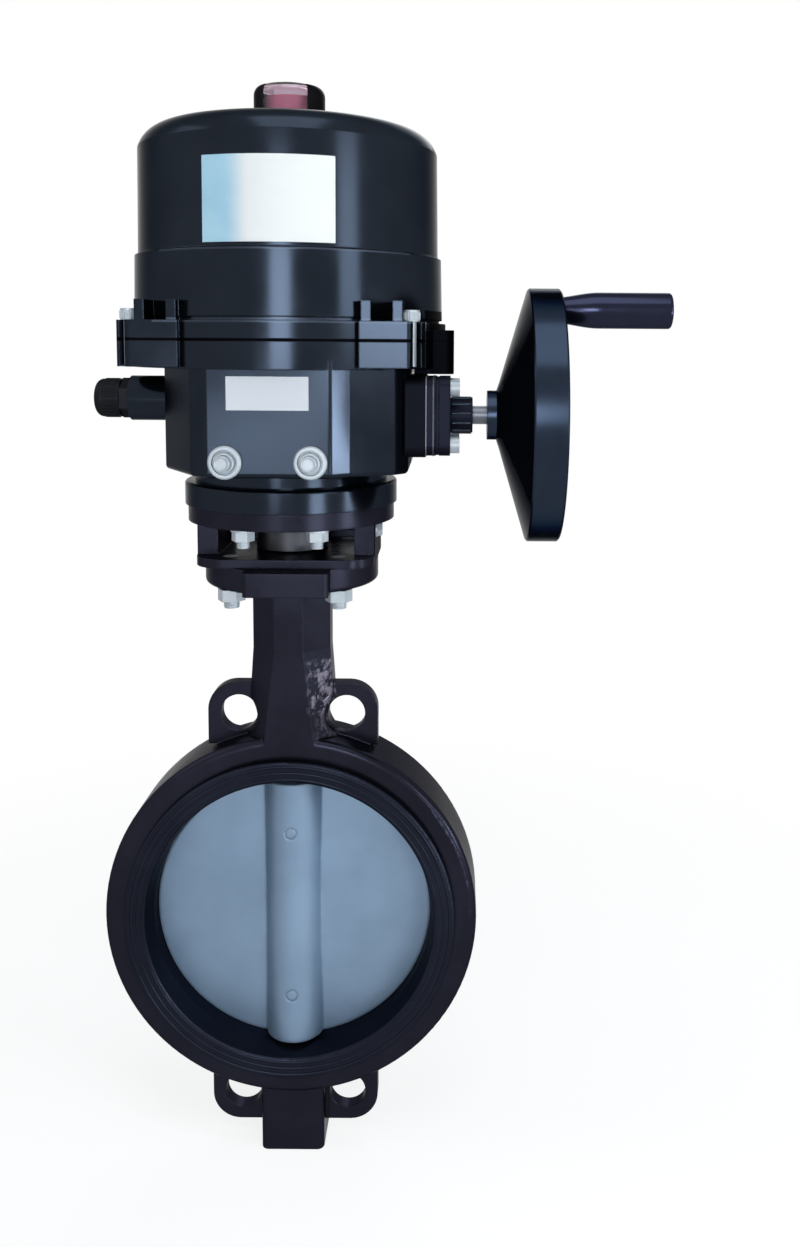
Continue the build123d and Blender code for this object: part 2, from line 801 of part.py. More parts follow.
def output_sleeve():
    """Hollow drive sleeve with journals, the stop plate and the wheel's seat."""
    wheel_low = worm_axis - wheel_thickness / 2
    wheel_high = worm_axis + wheel_thickness / 2
    case_floor_top = case_bottom + case_floor
    sleeve = cyl(sleeve_radius, sleeve_bottom, bracket_top)
    sleeve += cyl(journal_radius, bracket_top, wheel_low)
    sleeve += cyl(wheel_bore_radius, wheel_low, wheel_high)
    sleeve += cyl(journal_radius - 2, wheel_high, deck_bottom - moving_gap)
    sleeve += cyl(sleeve_bore_radius + journal_wall, deck_bottom - moving_gap, sleeve_top)
    plate_low = max(case_floor_top + moving_gap, stop_axis - stop_thickness / 2)
    sleeve += stop_plate(plate_low, stop_axis + stop_thickness / 2)
    sleeve -= cyl(sleeve_bore_radius, sleeve_bottom, stem_top() + 2)
    sleeve -= cyl(shaft_top_radius, deck_bottom, sleeve_top)
    return sleeve


def stop_plate(low, high):
    """Plate with one face for each travel-stop bolt."""
    plate = cyl(stop_hub_radius, low, high)
    arm = cyl(stop_reach, low, high)
    arm &= block(-stop_face, stop_reach, -stop_face, stop_reach, low, high)
    right = block(stop_bolt_place - stop_bolt_radius, stop_reach, -stop_reach, 0, low, high)
    left = block(-stop_reach, 0, stop_bolt_place - stop_bolt_radius, stop_reach, low, high)
    return plate + (arm & right) + (arm & left)


def drive_bush():
    """Keyed bush between the stem and the output sleeve."""
    bush = cyl(sleeve_bore_radius, sleeve_bottom, stem_top())
    bush -= cyl(stem_radius, sleeve_bottom, stem_top())
    return bush - key_block(stem_radius - 1, stem_radius + drive_key_height)


def output_bushes():
    """Plain bushes of the output sleeve in the base and in the deck."""
    low_end = case_bottom + case_floor
    lower = cyl(journal_radius + journal_wall, bracket_top, low_end)
    lower -= cyl(journal_radius + running_gap, bracket_top, low_end)
    collar = sleeve_bore_radius + journal_wall
    upper = cyl(collar + journal_wall, deck_bottom, deck_top)
    upper -= cyl(collar + running_gap, deck_bottom, deck_top)
    return [lower, upper]


def stop_bolts():
    """Travel-stop bolts through the front wall, their tips just short of the stop plate."""
    bolts = []
    for side in (-1, 1):
        x = side * stop_bolt_place
        outer = -case_front - stop_nut_height - stop_bolt_proud
        bolt = cyl_y(stop_bolt_radius, outer, -stop_face - moving_gap, x=x, z=stop_axis)
        bolts.append(bolt)
    return bolts


def stop_nuts():
    """Flanged lock nuts of the travel-stop bolts."""
    nuts = []
    for side in (-1, 1):
        x = side * stop_bolt_place
        nut = cyl_y(stop_nut_radius, -case_front - 2, -case_front, x=x, z=stop_axis)
        crown = Pos(x, -case_front - 2, stop_axis) * Rot(90, 0, 0) * extrude(
            RegularPolygon(stop_nut_radius * 0.92, 6), amount=stop_nut_height - 2)
        hole = cyl_y(stop_bolt_radius, -case_front - stop_nut_height, -case_front, x=x,
                     z=stop_axis)
        nuts.append(nut + crown - hole)
    return nuts


def worm_thread():
    """One-start worm thread, straight-sided in its axial section."""
    root = worm_pitch_radius - 1.25 * gear_module
    tip = worm_pitch_radius + gear_module
    pitch = pi * gear_module
    quarter = pitch / 4 - tooth_play
    slope = tan(radians(pressure_angle))
    sink = 0.4
    foot = quarter + (worm_pitch_radius - root + sink) * slope
    crest = quarter - gear_module * slope
    helix = Helix(pitch=pitch, height=worm_length, radius=root - sink)
    section = Polyline((0, -foot), (tip - root + sink, -crest), (tip - root + sink, crest),
                       (0, foot), close=True)
    start = Plane(origin=helix @ 0, x_dir=(1, 0, 0), z_dir=(0, 1, 0))
    ribbon = sweep(start * make_face(section), path=helix, is_frenet=True)
    contact = 90 - 180 * worm_length / pitch
    return Pos(0, 0, -worm_length / 2) * Rot(0, 0, contact) * ribbon


def worm_shaft():
    """Worm on its shaft, along X in front of the worm wheel."""
    root = worm_pitch_radius - 1.25 * gear_module
    worm = cyl(root, -worm_length / 2 - 4, worm_length / 2 + 4) + worm_thread()
    worm &= cyl(worm_pitch_radius + gear_module + 1, -worm_length / 2, worm_length / 2)
    worm += cyl(root, -worm_length / 2 - worm_neck, -worm_length / 2)
    worm += cyl(root, worm_length / 2, worm_length / 2 + worm_neck)
    worm = Pos(0, worm_y, worm_axis) * Rot(0, 90, 0) * worm
    worm += cyl_x(worm_journal_radius, -bearing_seat(), -worm_length / 2 - worm_neck, y=worm_y,
                  z=worm_axis)
    worm += cyl_x(worm_journal_radius, worm_length / 2 + worm_neck,
                  wheel_hub_start + wheel_hub_length, y=worm_y, z=worm_axis)
    return worm


def worm_bearings():
    """Ball bearings of the worm shaft, as their two races."""
    left = -bearing_seat()
    right = housing_foot_face - bearing_thickness
    rings = []
    for start in (left, right):
        end = start + bearing_thickness
        ring = cyl_x(bearing_radius, start, end, y=worm_y, z=worm_axis)
        rings.append(ring - cyl_x(worm_journal_radius + running_gap, start, end, y=worm_y,
                                  z=worm_axis))
    return rings


# Shaft housing, handwheel and grip

def housing_bolt_places():
    half = housing_size / 2 - housing_bolt_inset
    return [(worm_y + y, worm_axis + z) for y in (-half, half) for z in (-half, half)]


def shaft_housing():
    half = housing_size / 2
    flange = block(housing_foot_face, housing_face, worm_y - half, worm_y + half,
                   worm_axis - half, worm_axis + half)
    flange = fillet(flange.edges().filter_by(Axis.X), housing_round)
    groove = cyl_x(half * 2, housing_flange_face - 1, housing_flange_face + 1, y=worm_y,
                   z=worm_axis)
    groove -= cyl_x(half - 2, housing_flange_face - 2, housing_flange_face + 2, y=worm_y,
                    z=worm_axis)
    shape = flange - groove
    shape += cyl_x(housing_boss_radius, housing_face, housing_boss_face, y=worm_y, z=worm_axis)
    shape -= cyl_x(worm_journal_radius + running_gap, housing_foot_face, housing_boss_face,
                   y=worm_y, z=worm_axis)
    for y, z in housing_bolt_places():
        shape -= cyl_x(housing_bolt_radius + hole_gap, housing_foot_face, housing_face, y=y, z=z)
    return shape


def housing_bolts():
    bolts = []
    for y, z in housing_bolt_places():
        bolt = cyl_x(housing_bolt_radius, housing_foot_face - housing_bolt_depth, housing_face,
                     y=y, z=z)
        bolt += cyl_x(housing_bolt_radius * 1.8, housing_face, housing_face + housing_bolt_head,
                      y=y, z=z)
        bolts.append(bolt)
    return bolts


def handwheel():
    """Dished wheel turned in one piece: hub, cone and rim, with a boss for the grip."""
    inner_rim = wheel_radius - wheel_rim_depth
    cone_x = wheel_hub_start + wheel_cone_start
    with BuildLine() as profile:
        Polyline((wheel_hub_start, worm_journal_radius), (wheel_hub_start, wheel_hub_radius),
                 (cone_x - 2, wheel_hub_radius), (cone_x, wheel_cone_radius),
                 (wheel_rim_start, wheel_radius - wheel_rim_edge),
                 (wheel_rim_start + wheel_rim_edge, wheel_radius),
                 (wheel_rim_end - wheel_rim_edge, wheel_radius),
                 (wheel_rim_end, wheel_radius - wheel_rim_edge),
                 (wheel_rim_end, inner_rim), (wheel_rim_start + wheel_web + 3, inner_rim),
                 (cone_x + wheel_web + 2, wheel_cone_radius),
                 (wheel_hub_start + wheel_hub_length, wheel_hub_radius),
                 (wheel_hub_start + wheel_hub_length, worm_journal_radius), close=True)
    wheel = revolve(make_face(profile.line), axis=Axis.X)
    boss = cyl_x(grip_root_radius + 1, wheel_rim_start, wheel_rim_end, z=grip_offset)
    wheel = wheel + boss - cyl_x(spindle_radius, wheel_rim_start, wheel_rim_end, z=grip_offset)
    return Pos(0, worm_y, worm_axis) * wheel


def wheel_screw():
    """Screw and washer that hold the wheel on its shaft."""
    end = wheel_hub_start + wheel_hub_length
    screw = cyl_x(wheel_hub_radius - 3, end, end + 2, y=worm_y, z=worm_axis)
    return screw + cyl_x(5, end + 2, end + 6, y=worm_y, z=worm_axis)


def grip_spindle():
    axis_z = worm_axis + grip_offset
    end = wheel_rim_end + grip_length - 4
    spindle = cyl_x(spindle_radius, wheel_rim_start, end, y=worm_y, z=axis_z)
    return spindle + cyl_x(spindle_radius * 1.6, end, end + 3, y=worm_y, z=axis_z)


def grip():
    """Turning grip, slim at the wheel and full at its end."""
    start = wheel_rim_end + moving_gap
    end = start + grip_length
    with BuildLine() as profile:
        Line((start, 0), (start, grip_root_radius))
        swell = Spline((start, grip_root_radius), (start + grip_taper_length, grip_radius),
                       tangents=((1, 0.1), (1, 0)))
        Line(swell @ 1, (end - 2, grip_radius))
        nose = RadiusArc((end - 2, grip_radius), (end, grip_radius - 2), 2)
        Polyline(nose @ 1, (end, 0), (start, 0))
    shape = revolve(make_face(profile.line), axis=Axis.X)
    hole = spindle_radius + running_gap
    head = spindle_radius * 1.6 + moving_gap
    shape -= cyl_x(hole, start, end)
    shape -= cyl_x(head, wheel_rim_end + grip_length - 4 - moving_gap, end)
    return Pos(0, worm_y, worm_axis + grip_offset) * shape


# Cable gland

def gland_body():
    start = -gland_boss_reach
    body = cyl_x(gland_thread_radius, start, start + gland_thread_length, z=gland_axis)
    collar = Pos(start - gland_collar_length, 0, gland_axis) * Rot(0, 90, 0) * extrude(
        RegularPolygon(gland_collar_width / sqrt(3), 6), amount=gland_collar_length)
    body += collar
    neck = start - gland_collar_length
    body += cyl_x(gland_nut_radius - 3, neck - 10, neck, z=gland_axis)
    hole = cyl_x(cable_radius + 3, neck - 10, start + gland_thread_length, z=gland_axis)
    return body - hole


def gland_nut():
    """Domed cap nut of the cable gland."""
    start = -(gland_boss_reach + gland_collar_length)
    end = start - gland_nut_length
    nut = cyl_x(gland_nut_radius, end, start, z=gland_axis)
    rim = nut.edges().filter_by(GeomType.CIRCLE).sort_by(Axis.X)[0]
    nut = fillet(rim, 5)
    nut -= cyl_x(gland_nut_radius - 3, start - 10, start, z=gland_axis)
    return nut - cyl_x(cable_radius + 1, end, start, z=gland_axis)


def gland_seal():
    """Rubber ring that closes on the cable."""
    neck = -(gland_boss_reach + gland_collar_length)
    seal = cyl_x(cable_radius + 3, neck - 10, neck - 1, z=gland_axis)
    return seal - cyl_x(cable_radius, neck - 10, neck - 1, z=gland_axis)


# Switch compartment under the cover

def deck_plate():
    """Plate that closes the gear box and carries what is under the cover."""
    plate = cyl(bowl_radius - slip_gap, deck_bottom, deck_top)
    return plate - cyl(sleeve_bore_radius + 2 * journal_wall, deck_bottom, deck_top)


def indicator_shaft():
    return cyl(shaft_top_radius, deck_bottom, crown_top - cover_wall)


def indicator():
    """Position drum under the dome, with a raised bar that shows which way the disc lies."""
    low = crown_top - cover_wall
    top = low + indicator_height
    half_bar = indicator_bar_width / 2
    reach = indicator_radius * 0.8
    drum = cyl(indicator_radius, low, top)
    return drum + block(-reach, reach, -half_bar, half_bar, top, top + indicator_bar_height)


def cam_level(number):
    return deck_top + 34 + number * (cam_thickness + 4)


def cams():
    """Switch cams on the indicator shaft, each with a lobe."""
    pieces = []
    for number in range(cam_count):
        low = cam_level(number)
        cam = cyl(cam_radius, low, low + cam_thickness)
        lobe = block(0, cam_radius + 2, -4, 4, low, low + cam_thickness)
        cam += Rot(0, 0, 200 + 90 * number) * lobe
        pieces.append(cam - cyl(shaft_top_radius, low, low + cam_thickness))
    return pieces


def limit_switches():
    """Micro switches beside the cams."""
    pieces = []
    for number in range(cam_count):
        middle = cam_level(number) + cam_thickness / 2
        front = cam_radius + 2 + moving_gap + 1
        body = block(-switch_length / 2, switch_length / 2, front, front + switch_depth,
                     middle - (cam_thickness + 2) / 2, middle + (cam_thickness + 2) / 2)
        pieces.append(body)
    return pieces


def switch_bracket():
    """Post that carries the switches."""
    back = cam_radius + 3 + moving_gap + switch_depth
    top = cam_level(cam_count - 1) + cam_thickness + 4
    post = block(-switch_length / 2, switch_length / 2, back, back + 3, deck_top, top)
    return post + block(-switch_length / 2, switch_length / 2, back, back + 16, deck_top,
                        deck_top + 3)


def motor():
    body = cyl(motor_radius, deck_top, deck_top + motor_length, motor_x, motor_y)
    return fillet(body.edges().filter_by(GeomType.CIRCLE).sort_by(Axis.Z)[-1], 4)


def capacitor():
    return cyl(capacitor_radius, deck_top, deck_top + capacitor_length, capacitor_x, capacitor_y)


def terminal_block():
    """Row of terminals along the front."""
    front = -(bowl_radius - 24)
    block_body = block(-terminal_length / 2, terminal_length / 2, front, front + terminal_depth,
                       deck_top, deck_top + terminal_height)
    pitch = terminal_length / terminal_poles
    for pole in range(terminal_poles):
        x = -terminal_length / 2 + (pole + 0.5) * pitch
        block_body -= cyl(2.5, deck_top + terminal_height - 3, deck_top + terminal_height, x,
                          front + terminal_depth / 2)
    return block_body


def heater():
    half_width = heater_width / 2
    half_length = heater_length / 2
    return block(heater_x - half_width, heater_x + half_width, heater_y - half_length,
                 heater_y + half_length, deck_top, deck_top + heater_height)


# Label plates

def drum_surface(level):
    """Radius of the cover's drum at a level, with its draft."""
    rise = (level - drum_bottom - skirt_bevel) / (drum_height - skirt_bevel)
    return drum_radius - cover_draft * rise


def name_plate():
    """Curved plate on the front of the cover's drum."""
    low = seam + name_plate_middle - name_plate_height / 2
    high = low + name_plate_height
    foot = drum_surface(low)
    head = drum_surface(high)
    ring = turned(Plane.XZ * Polyline((foot, low), (foot + plate_thickness, low),
                                      (head + plate_thickness, high), (head, high), close=True))
    left = name_plate_offset - name_plate_width / 2
    return ring & block(left, left + name_plate_width, -drum_radius - plate_thickness,
                        -drum_radius / 2, low, high)


def data_plate():
    middle = rim_bottom - data_plate_drop
    half_width = data_plate_width / 2
    half_height = data_plate_height / 2
    return block(-half_width, half_width, -case_front - plate_thickness, -case_front,
                 middle - half_height, middle + half_height)


nodes = {
    "valve_body": valve_body,
    "seat_liner": seat_liner,
    "disc": disc,
    "disc_pins": disc_pins,
    "upper_stem": upper_stem,
    "lower_stem": lower_stem,
    "stem_key": stem_key,
    "stem_bushes": stem_bushes,
    "stem_seals": stem_seals,
    "bottom_plug": bottom_plug,
    "mounting_bracket": mounting_bracket,
    "valve_bolts": valve_bolts,
    "valve_nuts": valve_nuts,
    "base_studs": base_studs,
    "base_nuts": base_nuts,
    "gear_case": gear_case,
    "top_cover": top_cover,
    "cover_seal": cover_seal,
    "captive_bolts": captive_bolts,
    "sight_dome": sight_dome,
    "worm_wheel": worm_wheel,
    "worm_shaft": worm_shaft,
    "worm_bearings": worm_bearings,
    "output_sleeve": output_sleeve,
    "drive_bush": drive_bush,
    "output_bushes": output_bushes,
    "stop_bolts": stop_bolts,
    "stop_nuts": stop_nuts,
    "shaft_housing": shaft_housing,
    "housing_bolts": housing_bolts,
    "handwheel": handwheel,
    "wheel_screw": wheel_screw,
    "grip_spindle": grip_spindle,
    "grip": grip,
    "gland_body": gland_body,
    "gland_nut": gland_nut,
    "gland_seal": gland_seal,
    "deck_plate": deck_plate,
    "indicator_shaft": indicator_shaft,
    "indicator": indicator,
    "cams": cams,
    "limit_switches": limit_switches,
    "switch_bracket": switch_bracket,
    "motor": motor,
    "capacitor": capacitor,
    "terminal_block": terminal_block,
    "heater": heater,
    "name_plate": name_plate,
    "data_plate": data_plate,
}

os.makedirs("parts", exist_ok=True)
for name, make in nodes.items():
    shape = make()
    if isinstance(shape, list):
        shape = Compound(children=[piece for item in shape for piece in item.solids()])
    shape.label = name
    export_step(shape, f"parts/{name}.step")
    print(name, round(shape.volume / 1000, 1), "cm3")
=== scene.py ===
# %% [markdown]
# A motor-driven butterfly valve, dressed for its picture.
# The solids of the valve come in ready made, in metres, and never move.
# This lesson gives each of them a finish, adds the small pieces that only the eye needs,
# and lights them in a plain pale studio.

# %% Load the frame
import bpy
import bmesh
import json
from math import cos, pi, radians, sin
from mathutils import Matrix, Vector


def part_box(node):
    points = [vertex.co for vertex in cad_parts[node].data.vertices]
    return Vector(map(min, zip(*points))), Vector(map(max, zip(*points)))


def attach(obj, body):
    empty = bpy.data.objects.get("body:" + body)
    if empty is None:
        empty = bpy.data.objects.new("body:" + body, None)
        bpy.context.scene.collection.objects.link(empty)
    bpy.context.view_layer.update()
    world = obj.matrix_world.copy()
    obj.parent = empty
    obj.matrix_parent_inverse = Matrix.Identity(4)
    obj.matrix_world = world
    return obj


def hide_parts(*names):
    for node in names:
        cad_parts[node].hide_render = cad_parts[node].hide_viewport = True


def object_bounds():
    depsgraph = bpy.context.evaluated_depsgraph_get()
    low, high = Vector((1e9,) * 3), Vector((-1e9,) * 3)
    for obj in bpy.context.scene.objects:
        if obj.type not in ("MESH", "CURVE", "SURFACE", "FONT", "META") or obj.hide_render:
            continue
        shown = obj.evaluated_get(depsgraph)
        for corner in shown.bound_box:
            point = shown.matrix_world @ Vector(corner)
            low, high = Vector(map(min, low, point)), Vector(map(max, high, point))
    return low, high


mm = 0.001
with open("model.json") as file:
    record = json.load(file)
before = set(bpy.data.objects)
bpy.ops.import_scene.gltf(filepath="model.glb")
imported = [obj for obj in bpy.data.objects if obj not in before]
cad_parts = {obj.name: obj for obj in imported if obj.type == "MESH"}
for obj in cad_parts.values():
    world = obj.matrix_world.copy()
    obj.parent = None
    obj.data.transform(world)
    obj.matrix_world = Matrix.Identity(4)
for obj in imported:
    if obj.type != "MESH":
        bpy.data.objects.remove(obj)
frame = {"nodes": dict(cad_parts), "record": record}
nodes = frame["nodes"]
cad_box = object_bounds()

# %% [markdown]
# The camera stands a little to the right of the valve and above its middle, and looks down by a
# few degrees. The picture was cut out of a larger one, so the lens axis is not in its centre.
# A small shift of the sensor does the same here and keeps the perspective true.

# %% Camera
picture_width, picture_height = 800, 1247
focal_pixels = 1100.0
axis_pixel_x, axis_pixel_y = 455.0, 450.9
camera_place = Vector((0.1137, -0.7645, 0.4030))
pitch_down = radians(5.5)
roll = radians(0.4)

camera_data = bpy.data.cameras.new("camera")
camera_data.sensor_width = 36.0
camera_data.lens = focal_pixels / picture_height * camera_data.sensor_width
camera_data.shift_x = -(axis_pixel_x - picture_width / 2) / picture_height
camera_data.shift_y = (axis_pixel_y - picture_height / 2) / picture_height
camera = bpy.data.objects.new("camera", camera_data)
camera.matrix_world = (Matrix.Translation(camera_place)
                       @ Matrix.Rotation(pi / 2 - pitch_down, 4, "X")
                       @ Matrix.Rotation(roll, 4, "Z"))
bpy.context.scene.collection.objects.link(camera)
bpy.context.scene.camera = camera
bpy.context.scene.view_settings.view_transform = "Standard"
print("lens", round(camera_data.lens, 2), "mm")

# %% [markdown]
# The valve stands on the boss under its ring, on a pale floor. The floor takes the soft shadow,
# but far from the valve it and the world are plain white, as on a catalogue page.
# Light Path tells the shader which rays come straight from the camera or off a glossy surface.

# %% Floor and white surroundings
floor_size = 6.0
floor_level = cad_box[0][2]
floor_glow = 0.80
floor_fade_start, floor_fade_end = 0.25, 0.95
floor_grey, floor_shade = (0.80, 0.81, 0.82, 1), (0.30, 0.30, 0.30, 1)
fill_colour = (0.78, 0.87, 1.0, 1)
fill_strength = 0.10


def new_node(tree, kind, **settings):
    """Adds a shader or geometry node; plain settings go on the node itself."""
    node = tree.nodes.new(kind)
    for key, value in settings.items():
        setattr(node, key, value)
    return node


def math_node(tree, operation, first, second):
    """One Math node; each operand is a number or an output socket."""
    node = new_node(tree, "ShaderNodeMath", operation=operation)
    for socket, value in zip(node.inputs, (first, second)):
        if isinstance(value, (int, float)):
            socket.default_value = value
        else:
            tree.links.new(value, socket)
    return node.outputs[0]


def seen_rays(tree):
    """A value of 1 for rays from the camera, off a glossy surface or through glass."""
    path = new_node(tree, "ShaderNodeLightPath")
    first = math_node(tree, "MAXIMUM", path.outputs["Is Camera Ray"],
                      path.outputs["Is Glossy Ray"])
    return math_node(tree, "MAXIMUM", first, path.outputs["Is Transmission Ray"])


def mixed_shader(tree, factor, first, second):
    mix = new_node(tree, "ShaderNodeMixShader")
    tree.links.new(factor, mix.inputs["Fac"])
    tree.links.new(first, mix.inputs[1])
    tree.links.new(second, mix.inputs[2])
    return mix.outputs[0]


def make_floor():
    half = floor_size / 2
    mesh = bpy.data.meshes.new("floor")
    corners = [(-half, -half, floor_level), (half, -half, floor_level),
               (half, half, floor_level), (-half, half, floor_level)]
    mesh.from_pydata(corners, [], [(0, 1, 2, 3)])
    floor = bpy.data.objects.new("floor", mesh)
    bpy.context.scene.collection.objects.link(floor)
    material = bpy.data.materials.new("pale_floor")
    material.use_nodes = True
    tree = material.node_tree
    tree.nodes.clear()
    plain = new_node(tree, "ShaderNodeBsdfDiffuse")
    plain.inputs["Color"].default_value = floor_grey
    shaded = new_node(tree, "ShaderNodeBsdfDiffuse")
    shaded.inputs["Color"].default_value = floor_shade
    glow = new_node(tree, "ShaderNodeEmission")
    glow.inputs["Strength"].default_value = floor_glow
    white = new_node(tree, "ShaderNodeEmission")
    near = new_node(tree, "ShaderNodeAddShader")
    tree.links.new(shaded.outputs[0], near.inputs[0])
    tree.links.new(glow.outputs[0], near.inputs[1])
    where = new_node(tree, "ShaderNodeTexCoord")
    distance = new_node(tree, "ShaderNodeVectorMath", operation="LENGTH")
    tree.links.new(where.outputs["Object"], distance.inputs[0])
    fade = new_node(tree, "ShaderNodeMapRange", interpolation_type="SMOOTHSTEP")
    fade.inputs["From Min"].default_value = floor_fade_start
    fade.inputs["From Max"].default_value = floor_fade_end
    tree.links.new(distance.outputs["Value"], fade.inputs["Value"])
    shown = mixed_shader(tree, fade.outputs[0], near.outputs[0], white.outputs[0])
    both = mixed_shader(tree, seen_rays(tree), plain.outputs[0], shown)
    out = new_node(tree, "ShaderNodeOutputMaterial")
    tree.links.new(both, out.inputs["Surface"])
    mesh.materials.append(material)


def make_world():
    world = bpy.data.worlds.new("studio")
    bpy.context.scene.world = world
    world.use_nodes = True
    tree = world.node_tree
    tree.nodes.clear()
    fill = new_node(tree, "ShaderNodeBackground")
    fill.inputs["Color"].default_value = fill_colour
    fill.inputs["Strength"].default_value = fill_strength
    white = new_node(tree, "ShaderNodeBackground")
    white.inputs["Strength"].default_value = 1.0
    white.inputs["Color"].default_value = (1, 1, 1, 1)
    out = new_node(tree, "ShaderNodeOutputWorld")
    tree.links.new(mixed_shader(tree, seen_rays(tree), fill.outputs[0], white.outputs[0]),
                   out.inputs["Surface"])


make_floor()
make_world()
print("floor level", round(floor_level, 4))

# %% [markdown]
# Black enamel shows little colour of its own: what the eye reads is the lamps' reflections.
# A soft box almost straight ahead draws the bright upright streak on the cover, and a second one
# to the right draws the weaker streak beside it. A flat front panel mirrors one direction only,
# so it has a weaker box of its own, low and to the left. Another low one draws the short streak
# on the round base, and a small bright one far to the right lights only the bevels that face it.
# A weak one from the left keeps the shadow side from closing up, a wide one overhead lights the
# cover's shoulder, and one behind lights the rear.

# %% Lamps
lamp_target = Vector((0.0, 0.0, 0.30))
daylight = (0.915, 0.966, 1.0)


def soft_box(name, azimuth, elevation, distance, width, height, radiance, tint=daylight):
    """Area lamp seen from the valve at an azimuth to the right of straight ahead."""
    data = bpy.data.lights.new(name, "AREA")
    data.shape = "RECTANGLE"
    data.size = width
    data.size_y = height
    data.energy = radiance * pi * width * height
    data.color = tint
    lamp = bpy.data.objects.new(name, data)
    around = radians(azimuth)
    up = radians(elevation)
    away = Vector((sin(around) * cos(up), -cos(around) * cos(up), sin(up)))
    place = lamp_target + away * distance
    turn = away.to_track_quat("Z", "Y").to_matrix().to_4x4()
    lamp.matrix_world = Matrix.Translation(place) @ turn
    bpy.context.scene.collection.objects.link(lamp)


soft_box("key_box", 1.0, 6.75, 2.0, 0.49, 0.51, 16.5)
soft_box("panel_box", -10, -3.75, 2.0, 0.35, 0.23, 9.0)
soft_box("low_box", 34, -9, 2.0, 0.50, 0.20, 19.0)
soft_box("side_box", 50, 11, 2.0, 0.50, 0.45, 8.5)
soft_box("edge_box", 70, -2.5, 1.58, 0.27, 0.27, 36.0)
soft_box("left_box", -80, 35, 2.0, 0.90, 0.90, 1.6, (1.0, 0.99, 0.93))
soft_box("top_box", 8, 67, 1.7, 0.95, 1.30, 2.9)
soft_box("back_box", 165, 35, 2.2, 1.40, 1.00, 1.8)
print("lamps", len(bpy.data.lights))

# %% [markdown]
# No casting is the same all over. Four shader groups carry what the finishes share: the fine
# grain of a coated casting, the rounded and lightly rubbed edges that every real part has, the
# drawn lines that a lathe or a die leaves on metal, and a mask for one place that differs.
# Each is built once, with named inputs, and every finish below uses them with its own values.

# %% Shader groups
spot_scale = 170.0
gap_start, gap_full = 0.62, 0.46
# the wider border softens places broken into spots, such as the painted highlight on the neck
sharp_border, spot_border = 0.0006, 0.005


def new_group(name, kind, inputs, outputs):
    """An empty node group with its sockets: inputs are (name, type, default)."""
    group = bpy.data.node_groups.new(name, kind)
    for socket_name, socket_type, default in inputs:
        socket = group.interface.new_socket(socket_name, in_out="INPUT", socket_type=socket_type)
        if default is not None:
            socket.default_value = default
    for socket_name, socket_type in outputs:
        group.interface.new_socket(socket_name, in_out="OUTPUT", socket_type=socket_type)
    return group, new_node(group, "NodeGroupInput"), new_node(group, "NodeGroupOutput")


def noise_node(tree, vector, scale, detail=3.0, roughness=0.55):
    node = new_node(tree, "ShaderNodeTexNoise")
    tree.links.new(vector, node.inputs["Vector"])
    if isinstance(scale, (int, float)):
        node.inputs["Scale"].default_value = scale
    else:
        tree.links.new(scale, node.inputs["Scale"])
    node.inputs["Detail"].default_value = detail
    node.inputs["Roughness"].default_value = roughness
    return node.outputs[0]


def make_grain_group():
    """Fine bumps of a sprayed casting, with slow changes of tone over the surface."""
    group, into, out = new_group(
        "sprayed_grain", "ShaderNodeTree",
        [("Vector", "NodeSocketVector", None), ("Scale", "NodeSocketFloat", 900.0)],
        [("Height", "NodeSocketFloat"), ("Tone", "NodeSocketFloat")])
    fine = noise_node(group, into.outputs["Vector"], into.outputs["Scale"], 2.0)
    wide = math_node(group, "MULTIPLY", into.outputs["Scale"], 0.18)
    waves = noise_node(group, into.outputs["Vector"], wide, 3.0)
    height = math_node(group, "ADD", math_node(group, "MULTIPLY", fine, 0.45),
                       math_node(group, "MULTIPLY", waves, 0.55))
    slow = noise_node(group, into.outputs["Vector"], 14.0, 4.0, 0.6)
    tone = new_node(group, "ShaderNodeMapRange", interpolation_type="SMOOTHSTEP")
    tone.inputs["From Min"].default_value = 0.32
    tone.inputs["From Max"].default_value = 0.68
    group.links.new(slow, tone.inputs["Value"])
    group.links.new(height, out.inputs["Height"])
    group.links.new(tone.outputs[0], out.inputs["Tone"])
    return group


def make_edge_group():
    """Rounded edges for the light, and a mask of where hands and tools rub them."""
    group, into, out = new_group(
        "rubbed_edges", "ShaderNodeTree",
        [("Vector", "NodeSocketVector", None), ("Radius", "NodeSocketFloat", 0.0008),
         ("Patches", "NodeSocketFloat", 60.0)],
        [("Normal", "NodeSocketVector"), ("Rub", "NodeSocketFloat")])
    bevel = new_node(group, "ShaderNodeBevel", samples=4)
    group.links.new(into.outputs["Radius"], bevel.inputs["Radius"])
    surface = new_node(group, "ShaderNodeNewGeometry")
    facing = new_node(group, "ShaderNodeVectorMath", operation="DOT_PRODUCT")
    group.links.new(bevel.outputs[0], facing.inputs[0])
    group.links.new(surface.outputs["Normal"], facing.inputs[1])
    turned = math_node(group, "SUBTRACT", 1.0, facing.outputs["Value"])
    edge = new_node(group, "ShaderNodeMapRange")
    edge.inputs["From Min"].default_value = 0.04
    edge.inputs["From Max"].default_value = 0.22
    group.links.new(turned, edge.inputs["Value"])
    patches = noise_node(group, into.outputs["Vector"], into.outputs["Patches"], 3.0)
    spots = new_node(group, "ShaderNodeMapRange")
    spots.inputs["From Min"].default_value = 0.42
    spots.inputs["From Max"].default_value = 0.66
    group.links.new(patches, spots.inputs["Value"])
    group.links.new(bevel.outputs[0], out.inputs["Normal"])
    group.links.new(math_node(group, "MULTIPLY", edge.outputs[0], spots.outputs[0]),
                    out.inputs["Rub"])
    return group


